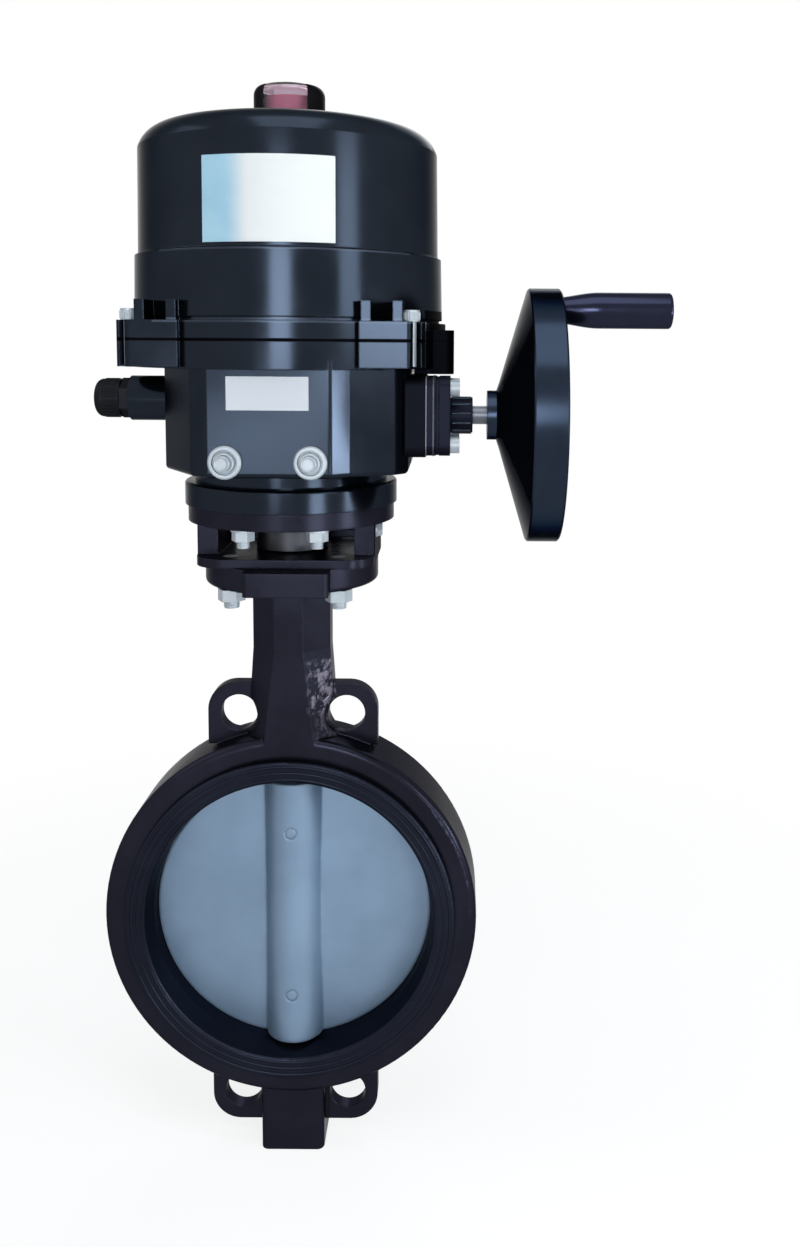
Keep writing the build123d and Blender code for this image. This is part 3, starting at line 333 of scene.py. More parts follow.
def make_drawn_group():
    """Fine lines that a tool draws along one direction: Stretch squeezes them by axis."""
    group, into, out = new_group(
        "drawn_lines", "ShaderNodeTree",
        [("Vector", "NodeSocketVector", None), ("Stretch", "NodeSocketVector", (1.0, 1.0, 1.0))],
        [("Height", "NodeSocketFloat"), ("Tone", "NodeSocketFloat")])
    scaled = new_node(group, "ShaderNodeVectorMath", operation="MULTIPLY")
    group.links.new(into.outputs["Vector"], scaled.inputs[0])
    group.links.new(into.outputs["Stretch"], scaled.inputs[1])
    lines = noise_node(group, scaled.outputs[0], 1.0, 4.0, 0.7)
    tone = noise_node(group, into.outputs["Vector"], 40.0, 3.0)
    group.links.new(lines, out.inputs["Height"])
    group.links.new(tone, out.inputs["Tone"])
    return group


def vector_node(tree, operation, first, second=None):
    node = new_node(tree, "ShaderNodeVectorMath", operation=operation)
    tree.links.new(first, node.inputs[0])
    if second is not None:
        tree.links.new(second, node.inputs[1])
    return node.outputs["Vector"]


def make_place_group():
    """A mask of one place on a piece: 1 in a box round Centre, broken into spots if wanted."""
    group, into, out = new_group(
        "place_mask", "ShaderNodeTree",
        [("Vector", "NodeSocketVector", None), ("Centre", "NodeSocketVector", (0.0, 0.0, 0.0)),
         ("Half Size", "NodeSocketVector", (0.01, 0.01, 0.01)),
         ("Soft", "NodeSocketFloat", sharp_border), ("Broken", "NodeSocketFloat", 0.0)],
        [("Mask", "NodeSocketFloat")])
    away = vector_node(group, "SUBTRACT", into.outputs["Vector"], into.outputs["Centre"])
    past = vector_node(group, "SUBTRACT", vector_node(group, "ABSOLUTE", away),
                       into.outputs["Half Size"])
    axes = new_node(group, "ShaderNodeSeparateXYZ")
    group.links.new(past, axes.inputs[0])
    level = math_node(group, "MAXIMUM", axes.outputs["X"], axes.outputs["Y"])
    inside = new_node(group, "ShaderNodeMapRange")
    group.links.new(math_node(group, "MAXIMUM", level, axes.outputs["Z"]), inside.inputs["Value"])
    group.links.new(into.outputs["Soft"], inside.inputs["From Max"])
    inside.inputs["To Min"].default_value = 1.0
    inside.inputs["To Max"].default_value = 0.0
    gaps = new_node(group, "ShaderNodeMapRange")
    gaps.inputs["From Min"].default_value = gap_start
    gaps.inputs["From Max"].default_value = gap_full
    group.links.new(noise_node(group, into.outputs["Vector"], spot_scale, 4.0, 0.65),
                    gaps.inputs["Value"])
    lost = math_node(group, "MULTIPLY", gaps.outputs[0], into.outputs["Broken"])
    kept = math_node(group, "SUBTRACT", 1.0, lost)
    group.links.new(math_node(group, "MULTIPLY", inside.outputs[0], kept), out.inputs["Mask"])
    return group


sprayed_grain = make_grain_group()
rubbed_edges = make_edge_group()
drawn_lines = make_drawn_group()
place_mask = make_place_group()
print("groups", [group.name for group in bpy.data.node_groups])

# %% [markdown]
# Paint on a casting is one recipe: two close colours that change slowly over the surface, edges
# rubbed a little lighter, a fine bump, and a gloss that is not quite even. The recipe is one
# function, so that the black of the gear case, of the valve and of the rubber differ only in
# their numbers. Black enamel shows its lamps and little else, and in a dark studio it stays black
# out to its edges, where plain varnish would pale against the white page. So the blacks take
# their reflection from the metallic side of the shader: there Base Color is what comes back from
# the front, a few percent, and Specular Tint below one holds the edges down.

# %% Recipes for coated and machined surfaces
edge_fade = 0.48
# the next step raises the bump where a place is broken into spots, the painted highlight on the
# neck
spot_step = 3.0


def blank_material(name):
    material = bpy.data.materials.new(name)
    material.use_nodes = True
    tree = material.node_tree
    tree.nodes.clear()
    shader = new_node(tree, "ShaderNodeBsdfPrincipled")
    out = new_node(tree, "ShaderNodeOutputMaterial")
    tree.links.new(shader.outputs[0], out.inputs["Surface"])
    where = new_node(tree, "ShaderNodeTexCoord")
    return material, tree, shader, where.outputs["Object"]


def placed_group(tree, group, vector, **values):
    node = new_node(tree, "ShaderNodeGroup")
    node.node_tree = group
    tree.links.new(vector, node.inputs["Vector"])
    for key, value in values.items():
        node.inputs[key].default_value = value
    return node


def mixed_colour(tree, factor, first, second):
    """Mix of two colours; each is a tuple or an output socket."""
    mix = new_node(tree, "ShaderNodeMix", data_type="RGBA")
    tree.links.new(factor, mix.inputs["Factor"])
    for socket, value in zip([s for s in mix.inputs if s.type == "RGBA"], (first, second)):
        if isinstance(value, tuple):
            socket.default_value = (*value, 1)
        else:
            tree.links.new(value, socket)
    return [s for s in mix.outputs if s.type == "RGBA"][0]


def spread(tree, value, low, high):
    """Maps 0..1 to low..high; each end is a number or an output socket."""
    node = new_node(tree, "ShaderNodeMapRange")
    for socket, end in ((node.inputs["To Min"], low), (node.inputs["To Max"], high)):
        if isinstance(end, (int, float)):
            socket.default_value = end
        else:
            tree.links.new(end, socket)
    tree.links.new(value, node.inputs["Value"])
    return node.outputs[0]


def bumped(tree, shader, height, depth, normal=None):
    bump = new_node(tree, "ShaderNodeBump")
    bump.inputs["Strength"].default_value = 1.0
    bump.inputs["Distance"].default_value = depth
    tree.links.new(height, bump.inputs["Height"])
    if normal is not None:
        tree.links.new(normal, bump.inputs["Normal"])
    tree.links.new(bump.outputs[0], shader.inputs["Normal"])


def place_of(tree, where, low, high, broken):
    """Mask of a box between two corners in mm."""
    low, high = Vector(low) * mm, Vector(high) * mm
    node = placed_group(tree, place_mask, where, Centre=(low + high) / 2, Broken=broken,
                        Soft=sharp_border + spot_border * broken)
    node.inputs["Half Size"].default_value = (high - low) / 2
    return node.outputs["Mask"]


def coated(name, deep, pale, rubbed, gloss, grain, depth, edge=0.0008, rub=1.0, mirror=0.0,
           fade=edge_fade, specular=0.35, places=()):
    """Painted, moulded or rubber surface; gloss is the roughness range, grain is per metre.

    With mirror above 0, deep and pale are what the surface reflects from the front. Each place
    is two corners in mm, a colour, a roughness and how far it is broken into spots.
    """
    material, tree, shader, where = blank_material(name)
    fine = placed_group(tree, sprayed_grain, where, Scale=grain)
    edges = placed_group(tree, rubbed_edges, where, Radius=edge)
    tone = mixed_colour(tree, fine.outputs["Tone"], deep, pale)
    worn = math_node(tree, "MULTIPLY", edges.outputs["Rub"], rub)
    colour = mixed_colour(tree, worn, tone, rubbed)
    roughness = spread(tree, fine.outputs["Tone"], *gloss)
    height = fine.outputs["Height"]
    # a place's colour may be painted highlight or painted shade, as the lists of places say
    for low, high, place_colour, place_gloss, broken in places:
        mask = place_of(tree, where, low, high, broken)
        colour = mixed_colour(tree, mask, colour, place_colour)
        roughness = spread(tree, mask, roughness, place_gloss)
        step = math_node(tree, "MULTIPLY", mask, spot_step * broken)
        height = math_node(tree, "ADD", height, step)
    tree.links.new(colour, shader.inputs["Base Color"])
    tree.links.new(roughness, shader.inputs["Roughness"])
    shader.inputs["Metallic"].default_value = mirror
    shader.inputs["Specular IOR Level"].default_value = 0.0 if mirror else specular
    shader.inputs["Specular Tint"].default_value = (*[fade if mirror else 1.0] * 3, 1)
    bumped(tree, shader, height, depth, edges.outputs["Normal"])
    return material


def machined(name, deep, pale, gloss, stretch, depth, edge=0.0005, metallic=1.0):
    """Bare or plated metal with drawn lines; stretch is the number of lines per metre by axis."""
    material, tree, shader, where = blank_material(name)
    lines = placed_group(tree, drawn_lines, where, Stretch=stretch)
    edges = placed_group(tree, rubbed_edges, where, Radius=edge)
    tree.links.new(mixed_colour(tree, lines.outputs["Tone"], deep, pale),
                   shader.inputs["Base Color"])
    tree.links.new(spread(tree, lines.outputs["Height"], *gloss), shader.inputs["Roughness"])
    shader.inputs["Metallic"].default_value = metallic
    bumped(tree, shader, lines.outputs["Height"], depth, edges.outputs["Normal"])
    return material


# %% [markdown]
# The blacks: enamel on the aluminium gear case and cover, epoxy on the iron valve, enamel on the
# handwheel, phenolic on the grip, and two rubbers. Measured from well-lit places they are all
# very dark and slightly blue, so their difference lies in gloss and grain.
# A few places differ: the joint between case and cover is a dark line. Along the two edges that
# run round the cover, at the front, a lighter band is painted highlight. The lug on the right side,
# the foot of the shaft housing and the outer face of the bracket's right leg are duller and darker:
# painted shade. On the neck a brighter patch, broken into spots and dimmer lower down, is painted
# highlight on a glossy crinkled patch.

# %% Black finishes
seam_level = 405.3
# painted shade: a black darker than the enamels, for faces that should read as turned from the
# lamps
painted_shade_black = (0.0030, 0.0032, 0.0048)
case_places = [
    ((-130, -130, seam_level - 0.7), (130, 130, seam_level + 0.7), (0.002, 0.002, 0.003), 0.5, 0),
    # painted highlight: lighter bands along the cover's two edges, at the front only
    ((-70, -130, 416.0), (100, -60, 418.2), (0.034, 0.043, 0.060), 0.30, 0),
    ((-70, -130, 459.6), (100, -60, 461.2), (0.034, 0.043, 0.060), 0.30, 0),
    # painted shade: the lug on the right side and, next, the foot of the shaft housing are made
    # darker
    ((88, -45, 380), (115, 45, 425), painted_shade_black, 0.55, 0),
    ((76, -85, 322), (97, -15, 388), (0.0060, 0.0066, 0.0105), 0.55, 0),
]
valve_places = [
    # painted highlight: a brighter patch on the neck, broken into spots, weaker in the part lower
    # down
    ((17, -32, 152), (29, -6, 180), (0.13, 0.12, 0.155), 0.28, 1.0),
    ((22, -32, 132), (36, -6, 150), (0.065, 0.060, 0.078), 0.28, 1.0),
    # painted shade: the outer face of the bracket's right leg is made darker
    ((59.6, -32, 255), (61, 32, 284), painted_shade_black, 0.55, 0),
]
finishes = {
    "actuator_enamel": coated("actuator_enamel", (0.0135, 0.0176, 0.0252), (0.0170, 0.0218, 0.0308),
                              (0.050, 0.058, 0.075), (0.15, 0.21), 1500.0, 0.000010,
                              edge=0.0010, rub=0.5, mirror=0.9, places=case_places),
    "valve_coating": coated("valve_coating", (0.0130, 0.0136, 0.0210), (0.0175, 0.0180, 0.0280),
                            (0.040, 0.040, 0.050), (0.22, 0.34), 1100.0, 0.00005,
                            edge=0.0014, rub=0.6, mirror=0.9, places=valve_places),
    "wheel_enamel": coated("wheel_enamel", (0.0175, 0.0245, 0.0390), (0.0210, 0.0295, 0.0470),
                           (0.050, 0.060, 0.080), (0.18, 0.26), 1300.0, 0.000015,
                           edge=0.0008, rub=0.6, mirror=0.9, fade=0.30),
    "grip_plastic": coated("grip_plastic", (0.0170, 0.0190, 0.0350), (0.0210, 0.0230, 0.0420),
                           (0.035, 0.036, 0.050), (0.15, 0.22), 900.0, 0.00001,
                           edge=0.0008, rub=0.3, mirror=0.9),
    "gland_plastic": coated("gland_plastic", (0.0105, 0.0115, 0.0140), (0.0135, 0.0145, 0.0175),
                            (0.030, 0.030, 0.034), (0.34, 0.44), 2200.0, 0.00003,
                            edge=0.0005, rub=0.4, mirror=0.9),
    "seat_rubber": coated("seat_rubber", (0.0120, 0.0140, 0.0220), (0.0155, 0.0180, 0.0285),
                          (0.026, 0.028, 0.036), (0.30, 0.42), 1800.0, 0.00003,
                          edge=0.0010, rub=0.5, mirror=0.9),
    "seal_rubber": coated("seal_rubber", (0.0040, 0.0040, 0.0046), (0.0064, 0.0064, 0.0070),
                          (0.016, 0.016, 0.016), (0.45, 0.56), 1800.0, 0.00004, specular=0.15),
    "switch_plastic": coated("switch_plastic", (0.0060, 0.0060, 0.0072), (0.0095, 0.0095, 0.0110),
                             (0.02, 0.02, 0.02), (0.30, 0.40), 1600.0, 0.00002, mirror=0.9),
    "housing_casting": coated("housing_casting", (0.0070, 0.0078, 0.0140),
                              (0.0120, 0.0130, 0.0210), (0.060, 0.065, 0.085), (0.42, 0.54),
                              1000.0, 0.00007, edge=0.0010, rub=1.0, mirror=0.9),
}
print("black finishes", len(finishes))

# %% [markdown]
# The bright metals: zinc-plated bolts and nuts, turned stainless shafts, darker oiled steel and
# bronze inside. Lines from the tool run round a turned shaft, so the pattern is fine along the
# shaft's axis and slow around it.

# %% Metals
finishes.update({
    "zinc_steel": machined("zinc_steel", (0.30, 0.34, 0.38), (0.46, 0.50, 0.54), (0.38, 0.52),
                           (700.0, 700.0, 700.0), 0.00003, metallic=0.35),
    "stainless": machined("stainless", (0.10, 0.11, 0.135), (0.17, 0.18, 0.21), (0.34, 0.46),
                          (2500.0, 60.0, 60.0), 0.00002, metallic=0.7),
    "dark_steel": machined("dark_steel", (0.035, 0.036, 0.042), (0.075, 0.077, 0.088), (0.34, 0.50),
                           (60.0, 60.0, 1600.0), 0.00003),
    "bronze": machined("bronze", (0.42, 0.26, 0.10), (0.58, 0.38, 0.17), (0.26, 0.40),
                       (60.0, 60.0, 1600.0), 0.00003),
    "bare_aluminium": machined("bare_aluminium", (0.42, 0.43, 0.45), (0.58, 0.59, 0.61),
                               (0.28, 0.42), (300.0, 300.0, 300.0), 0.00004),
})
print("finishes so far", len(finishes))

# %% [markdown]
# The disc is a casting with a satin coating, pale blue-grey. It is half way between paint and
# metal: it takes soft broad highlights on its hub and a faint cloudiness on its plate.

# %% Disc
def disc_material():
    material, tree, shader, where = blank_material("disc_finish")
    fine = placed_group(tree, sprayed_grain, where, Scale=1400.0)
    edges = placed_group(tree, rubbed_edges, where, Radius=0.0030)
    tone = mixed_colour(tree, fine.outputs["Tone"], (0.165, 0.240, 0.340), (0.200, 0.285, 0.395))
    tree.links.new(mixed_colour(tree, edges.outputs["Rub"], tone, (0.30, 0.38, 0.46)),
                   shader.inputs["Base Color"])
    shader.inputs["Metallic"].default_value = 0.55
    tree.links.new(spread(tree, fine.outputs["Tone"], 0.46, 0.54), shader.inputs["Roughness"])
    bumped(tree, shader, fine.outputs["Height"], 0.00006, edges.outputs["Normal"])
    return material


finishes["disc_finish"] = disc_material()
print("disc finish made")

# %% [markdown]
# The labels are white film. The large one has a pale blue field on its left third: a soft step
# in the Object coordinate X makes the field, and a faint cloudiness keeps the white from being
# one flat colour. The small plate lower down is the same film, a little greyer.

# %% Labels and light plastics
name_plate_low, name_plate_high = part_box("name_plate")
blue_field_share = 0.34
field_fade_right, field_fade_left = 0.003, 0.014
plate_margin = 0.005


def label_material():
    material, tree, shader, where = blank_material("label_white")
    axes = new_node(tree, "ShaderNodeSeparateXYZ")
    tree.links.new(where, axes.inputs[0])
    width = name_plate_high.x - name_plate_low.x
    border = name_plate_low.x + blue_field_share * width
    left = new_node(tree, "ShaderNodeMapRange", interpolation_type="SMOOTHSTEP")
    left.inputs["From Min"].default_value = border + field_fade_right
    left.inputs["From Max"].default_value = border - field_fade_left
    tree.links.new(axes.outputs["X"], left.inputs["Value"])
    high = math_node(tree, "GREATER_THAN", axes.outputs["Z"], name_plate_low.z - plate_margin)
    field = math_node(tree, "MULTIPLY", left.outputs[0], high)
    fine = placed_group(tree, sprayed_grain, where, Scale=2600.0)
    film = mixed_colour(tree, fine.outputs["Tone"], (0.74, 0.75, 0.74), (0.78, 0.785, 0.77))
    white = mixed_colour(tree, high, (0.60, 0.62, 0.66), film)
    pale = mixed_colour(tree, fine.outputs["Tone"], (0.30, 0.52, 0.66), (0.42, 0.64, 0.76))
    blue = mixed_colour(tree, field, white, pale)
    tree.links.new(blue, shader.inputs["Base Color"])
    tree.links.new(spread(tree, fine.outputs["Tone"], 0.36, 0.44), shader.inputs["Roughness"])
    shader.inputs["Specular IOR Level"].default_value = 0.06
    bumped(tree, shader, fine.outputs["Height"], 0.00001)
    return material


finishes["label_white"] = label_material()
finishes["bush_plastic"] = coated("bush_plastic", (0.66, 0.64, 0.58), (0.78, 0.76, 0.70),
                                  (0.82, 0.80, 0.75), (0.40, 0.50), 1500.0, 0.00003)
finishes["terminal_plastic"] = coated("terminal_plastic", (0.52, 0.53, 0.49), (0.62, 0.63, 0.58),
                                      (0.7, 0.7, 0.66), (0.36, 0.46), 1500.0, 0.00003)
finishes["indicator_red"] = coated("indicator_red", (0.60, 0.17, 0.27), (0.68, 0.25, 0.35),
                                   (0.78, 0.45, 0.50), (0.30, 0.40), 1200.0, 0.00002)
print("labels and light plastics made")

# %% [markdown]
# The sight dome is a clear moulded cup, slightly smoky. Its wall is thin in the middle, where one
# looks straight through, and long at the sides, where one looks along it, so absorption inside
# the wall darkens those sides.

# %% Clear dome
dome_index, smoke_density = 1.40, 190.0


def dome_material():
    material, tree, shader, where = blank_material("dome_clear")
    fine = placed_group(tree, sprayed_grain, where, Scale=300.0)
    tree.links.new(mixed_colour(tree, fine.outputs["Tone"], (0.86, 0.87, 0.90), (0.94, 0.95, 0.97)),
                   shader.inputs["Base Color"])
    tree.links.new(spread(tree, fine.outputs["Tone"], 0.02, 0.05), shader.inputs["Roughness"])
    shader.inputs["Transmission Weight"].default_value = 1.0
    shader.inputs["IOR"].default_value = dome_index
    smoke = new_node(tree, "ShaderNodeVolumeAbsorption")
    smoke.inputs["Color"].default_value = (0.45, 0.18, 0.32, 1)
    smoke.inputs["Density"].default_value = smoke_density
    out = [node for node in tree.nodes if node.type == "OUTPUT_MATERIAL"][0]
    tree.links.new(smoke.outputs[0], out.inputs["Volume"])
    bumped(tree, shader, fine.outputs["Height"], 0.00002)
    return material


finishes["dome_clear"] = dome_material()
print("dome made")

# %% [markdown]
# Each solid names the slot of its finish in the record, so one loop dresses them all.
# Two solids get their own: the pins that hold the disc are coated with it, and the shaft housing
# is a rougher casting than the case, so it mirrors less of the lamp in front.

# %% Dress the solids
def dress(piece, material):
    piece.data.materials.clear()
    piece.data.materials.append(material)


for part in frame["record"]["subparts"]:
    dress(nodes[part["node"]], finishes[part["material_slot"]])
dress(nodes["disc_pins"], finishes["disc_finish"])
dress(nodes["shaft_housing"], finishes["housing_casting"])

# %% [markdown]
# The last kind of work is small pieces that the solids leave out: threads on the ends of studs,
# knurls and flutes for the fingers, the moulded beads of the rubber seat, and washers.
# What repeats is grown by Geometry Nodes: the places are the vertices of a tiny mesh, one shape
# is made in the tree and put on every place, and the result is kept as a plain mesh.

# %% From a tree to a plain piece
def settled(name, mesh, body, slot):
    """A finished piece at the origin, on its body, with its finish."""
    piece = bpy.data.objects.new(name, mesh)
    bpy.context.scene.collection.objects.link(piece)
    if not mesh.materials:
        mesh.materials.append(finishes[slot])
    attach(piece, body)
    return piece


def grown(name, tree, places, body, slot, **values):
    """Grows the tree on places given in mm and keeps the result as one plain mesh."""
    seed = bpy.data.meshes.new(name + "_places")
    seed.from_pydata([tuple(Vector(place) * mm) for place in places], [], [])
    holder = bpy.data.objects.new(name + "_holder", seed)
    bpy.context.scene.collection.objects.link(holder)
    modifier = holder.modifiers.new("grow", "NODES")
    modifier.node_group = tree
    sockets = {item.name: item.identifier for item in tree.interface.items_tree
               if item.item_type == "SOCKET" and item.in_out == "INPUT"}
    for key, value in values.items():
        modifier[sockets[key]] = value
    modifier[sockets["Finish"]] = finishes[slot]
    bpy.context.view_layer.update()
    evaluated = holder.evaluated_get(bpy.context.evaluated_depsgraph_get())
    mesh = bpy.data.meshes.new_from_object(evaluated)
    bpy.data.objects.remove(holder)
    print(name, len(mesh.polygons), "faces")
    return settled(name, mesh, body, slot)


def place_and_finish(tree, into, shape, out):
    """Ends a tree: the shape on every place, made real, with its material."""
    spread_out = new_node(tree, "GeometryNodeInstanceOnPoints")
    tree.links.new(into.outputs["Geometry"], spread_out.inputs["Points"])
    tree.links.new(shape, spread_out.inputs["Instance"])
    tree.links.new(into.outputs["Turn"], spread_out.inputs["Rotation"])
    real = new_node(tree, "GeometryNodeRealizeInstances")
    tree.links.new(spread_out.outputs[0], real.inputs[0])
    finish = new_node(tree, "GeometryNodeSetMaterial")
    tree.links.new(real.outputs[0], finish.inputs["Geometry"])
    tree.links.new(into.outputs["Finish"], finish.inputs["Material"])
    tree.links.new(finish.outputs[0], out.inputs["Geometry"])


def swept(tree, path, radius, corners):
    """A tube of few corners along a curve, closed at its ends."""
    outline = new_node(tree, "GeometryNodeCurvePrimitiveCircle", mode="RADIUS")
    outline.inputs["Resolution"].default_value = corners
    tree.links.new(radius, outline.inputs["Radius"])
    sweep = new_node(tree, "GeometryNodeCurveToMesh")
    sweep.inputs["Fill Caps"].default_value = True
    tree.links.new(path, sweep.inputs["Curve"])
    tree.links.new(outline.outputs["Curve"], sweep.inputs["Profile Curve"])
    return sweep.outputs["Mesh"]


# %% [markdown]
# A screw thread is a helix. The tree winds a spiral of constant radius and sweeps a small
# four-cornered outline along it, half sunk in the shank, so that its crest stands proud.

# %% Screw threads
def thread_tree():
    tree, into, out = new_group(
        "screw_thread", "GeometryNodeTree",
        [("Geometry", "NodeSocketGeometry", None), ("Radius", "NodeSocketFloat", 0.004),
         ("Pitch", "NodeSocketFloat", 0.0012), ("Length", "NodeSocketFloat", 0.005),
         ("Turn", "NodeSocketVector", None), ("Finish", "NodeSocketMaterial", None)],
        [("Geometry", "NodeSocketGeometry")])
    spiral = new_node(tree, "GeometryNodeCurveSpiral")
    spiral.inputs["Resolution"].default_value = 20
    turns = math_node(tree, "DIVIDE", into.outputs["Length"], into.outputs["Pitch"])
    tree.links.new(turns, spiral.inputs["Rotations"])
    tree.links.new(into.outputs["Radius"], spiral.inputs["Start Radius"])
    tree.links.new(into.outputs["Radius"], spiral.inputs["End Radius"])
    tree.links.new(into.outputs["Length"], spiral.inputs["Height"])
    crest = math_node(tree, "MULTIPLY", into.outputs["Pitch"], 0.36)
    place_and_finish(tree, into, swept(tree, spiral.outputs["Curve"], crest, 4), out)
    return tree


screw_thread = thread_tree()
base_stud_low, base_nut_low = 270.2, 275.0
valve_bolt_low, valve_nut_low = 226.0, 231.0
stud_x, stud_y, flange_bolt = 24.0, 56.0, 36.06
base_thread_radius, base_thread_pitch = 3.9, 1.25
valve_thread_radius, valve_thread_pitch = 4.9, 1.5
corners = [(sx, sy) for sx in (-1, 1) for sy in (-1, 1)]
grown("base_stud_threads", screw_thread,
      [(sx * stud_x, sy * stud_y, base_stud_low + 0.7) for sx, sy in corners], "frame",
      "zinc_steel", Radius=base_thread_radius * mm, Pitch=base_thread_pitch * mm,
      Length=(base_nut_low - base_stud_low - 0.9) * mm)
grown("valve_bolt_threads", screw_thread,
      [(sx * flange_bolt, sy * flange_bolt, valve_bolt_low + 0.8) for sx, sy in corners], "frame",
      "zinc_steel", Radius=valve_thread_radius * mm, Pitch=valve_thread_pitch * mm,
      Length=(valve_nut_low - valve_bolt_low - 1.0) * mm)

# %% [markdown]
# Fingers need something to hold. The heads of the captive cover bolts are knurled and the nut of
# the cable gland is fluted: in both, small half-sunk rods stand round a circle, so one tree with
# a radius, a count and a length makes them all.

# %% Knurls and flutes
def rib_ring_tree():
    tree, into, out = new_group(
        "ring_of_ribs", "GeometryNodeTree",
        [("Geometry", "NodeSocketGeometry", None), ("Radius", "NodeSocketFloat", 0.005),
         ("Thickness", "NodeSocketFloat", 0.0004), ("Length", "NodeSocketFloat", 0.004),
         ("Count", "NodeSocketInt", 24), ("Turn", "NodeSocketVector", None),
         ("Finish", "NodeSocketMaterial", None)],
        [("Geometry", "NodeSocketGeometry")])
    circle = new_node(tree, "GeometryNodeMeshCircle")
    tree.links.new(into.outputs["Count"], circle.inputs["Vertices"])
    tree.links.new(into.outputs["Radius"], circle.inputs["Radius"])
    end = new_node(tree, "ShaderNodeCombineXYZ")
    tree.links.new(into.outputs["Length"], end.inputs["Z"])
    rod = new_node(tree, "GeometryNodeCurvePrimitiveLine", mode="POINTS")
    rod.inputs["Start"].default_value = (0, 0, 0)
    tree.links.new(end.outputs[0], rod.inputs["End"])
    ring = new_node(tree, "GeometryNodeInstanceOnPoints")
    tree.links.new(circle.outputs["Mesh"], ring.inputs["Points"])
    tree.links.new(swept(tree, rod.outputs["Curve"], into.outputs["Thickness"], 6),
                   ring.inputs["Instance"])
    whole = new_node(tree, "GeometryNodeRealizeInstances")
    tree.links.new(ring.outputs[0], whole.inputs[0])
    place_and_finish(tree, into, whole.outputs[0], out)
    return tree


ring_of_ribs = rib_ring_tree()
captive_place, captive_head_low, captive_head_radius = 86.62, 417.0, 5.0
knurl_length, knurl_count = 4.6, 26
grown("captive_bolt_knurls", ring_of_ribs,
      [(sx * captive_place, sy * captive_place, captive_head_low + 1.0) for sx, sy in corners],
      "frame", "zinc_steel", Radius=captive_head_radius * mm, Thickness=0.45 * mm,
      Length=knurl_length * mm, Count=knurl_count)
gland_axis, gland_nut_start, gland_nut_radius = 365.0, -119.0, 13.2
flute_length, flute_count = 9.5, 30
grown("gland_nut_flutes", ring_of_ribs, [(gland_nut_start, 0.0, gland_axis)], "frame",
      "gland_plastic", Radius=(gland_nut_radius - 0.25) * mm, Thickness=0.7 * mm,
      Length=flute_length * mm, Count=flute_count, Turn=(0.0, -pi / 2, 0.0))

# %% [markdown]
# Washers, beads and collars are turned shapes. A lathe in code spins a closed outline round an
# axis: the outline is a list of radius and height in millimetres, and several outlines may make
# one piece. Its doubles are merged at the poles before the faces are turned outwards.

# %% A lathe in code
sharp_angle = radians(34)
bead_sink = 0.4


def finished_mesh(work, name, smooth=True):
    """Turns the faces outwards and keeps them as a mesh, smooth up to the sharp angle."""
    bmesh.ops.recalc_face_normals(work, faces=work.faces)
    mesh = bpy.data.meshes.new(name)
    work.to_mesh(mesh)
    work.free()
    if smooth:
        mesh.shade_smooth()
        mesh.set_sharp_from_angle(angle=sharp_angle)
    return mesh


def bridged(work, here, there):
    """Joins two closed rows of corners, one face for each side."""
    for point in range(len(here)):
        after = (point + 1) % len(here)
        work.faces.new((here[point], here[after], there[after], there[point]))


def lathed(name, outlines, places, axis, body, slot, steps=64):
    turn = Vector(axis).to_track_quat("Z", "Y").to_matrix()
    work = bmesh.new()
    for place in places:
        for outline in outlines:
            rings = []
            for step in range(steps):
                angle = 2 * pi * step / steps
                rings.append([work.verts.new(
                    (turn @ Vector((radius * cos(angle), radius * sin(angle), height))
                     + Vector(place)) * mm) for radius, height in outline])
            for step in range(steps):
                here, there = rings[step], rings[(step + 1) % steps]
                for point in range(len(outline)):
                    after = (point + 1) % len(outline)
                    work.faces.new((here[point], there[point], there[after], here[after]))
    bmesh.ops.remove_doubles(work, verts=work.verts, dist=1e-6)
    bmesh.ops.dissolve_degenerate(work, edges=work.edges, dist=1e-7)
    mesh = finished_mesh(work, name)
    print(name, len(mesh.polygons), "faces")
    return settled(name, mesh, body, slot)


def half_round(radius, level, width, height, side):
    """Outline of a bead on a face at the level, half a circle proud of it towards side."""
    points = [(radius + width / 2 * cos(pi * step / 6), level + side * height * sin(pi * step / 6))
              for step in range(7)]
    foot = level - side * bead_sink
    return points + [(radius - width / 2, foot), (radius + width / 2, foot)]


# %% [markdown]
# The rubber seat seals against the pipe flanges with moulded beads on both of its faces.
# They are low half rounds, and they catch the light as thin rings round the disc.

# %% Beads of the rubber seat
seat_face = 31.0
bead_rings = [(112.6, 2.2, 0.8), (108.0, 1.8, 0.6), (103.6, 1.8, 0.6)]
beads = [half_round(radius, side * seat_face, width, height, side)
         for side in (-1, 1) for radius, width, height in bead_rings]
lathed("seat_beads", beads, [(0, 0, 0)], (0, 1, 0), "frame", "seat_rubber", steps=144)

# %% [markdown]
# The travel stops come out of the case through sealing nuts. Such a nut is round, with a turned
# groove between its broad flange and its neck, and the groove holds the shadow that draws a dark
# ring. It stands for the plain nut of the solids, and a rolled rim goes round the screw's end.

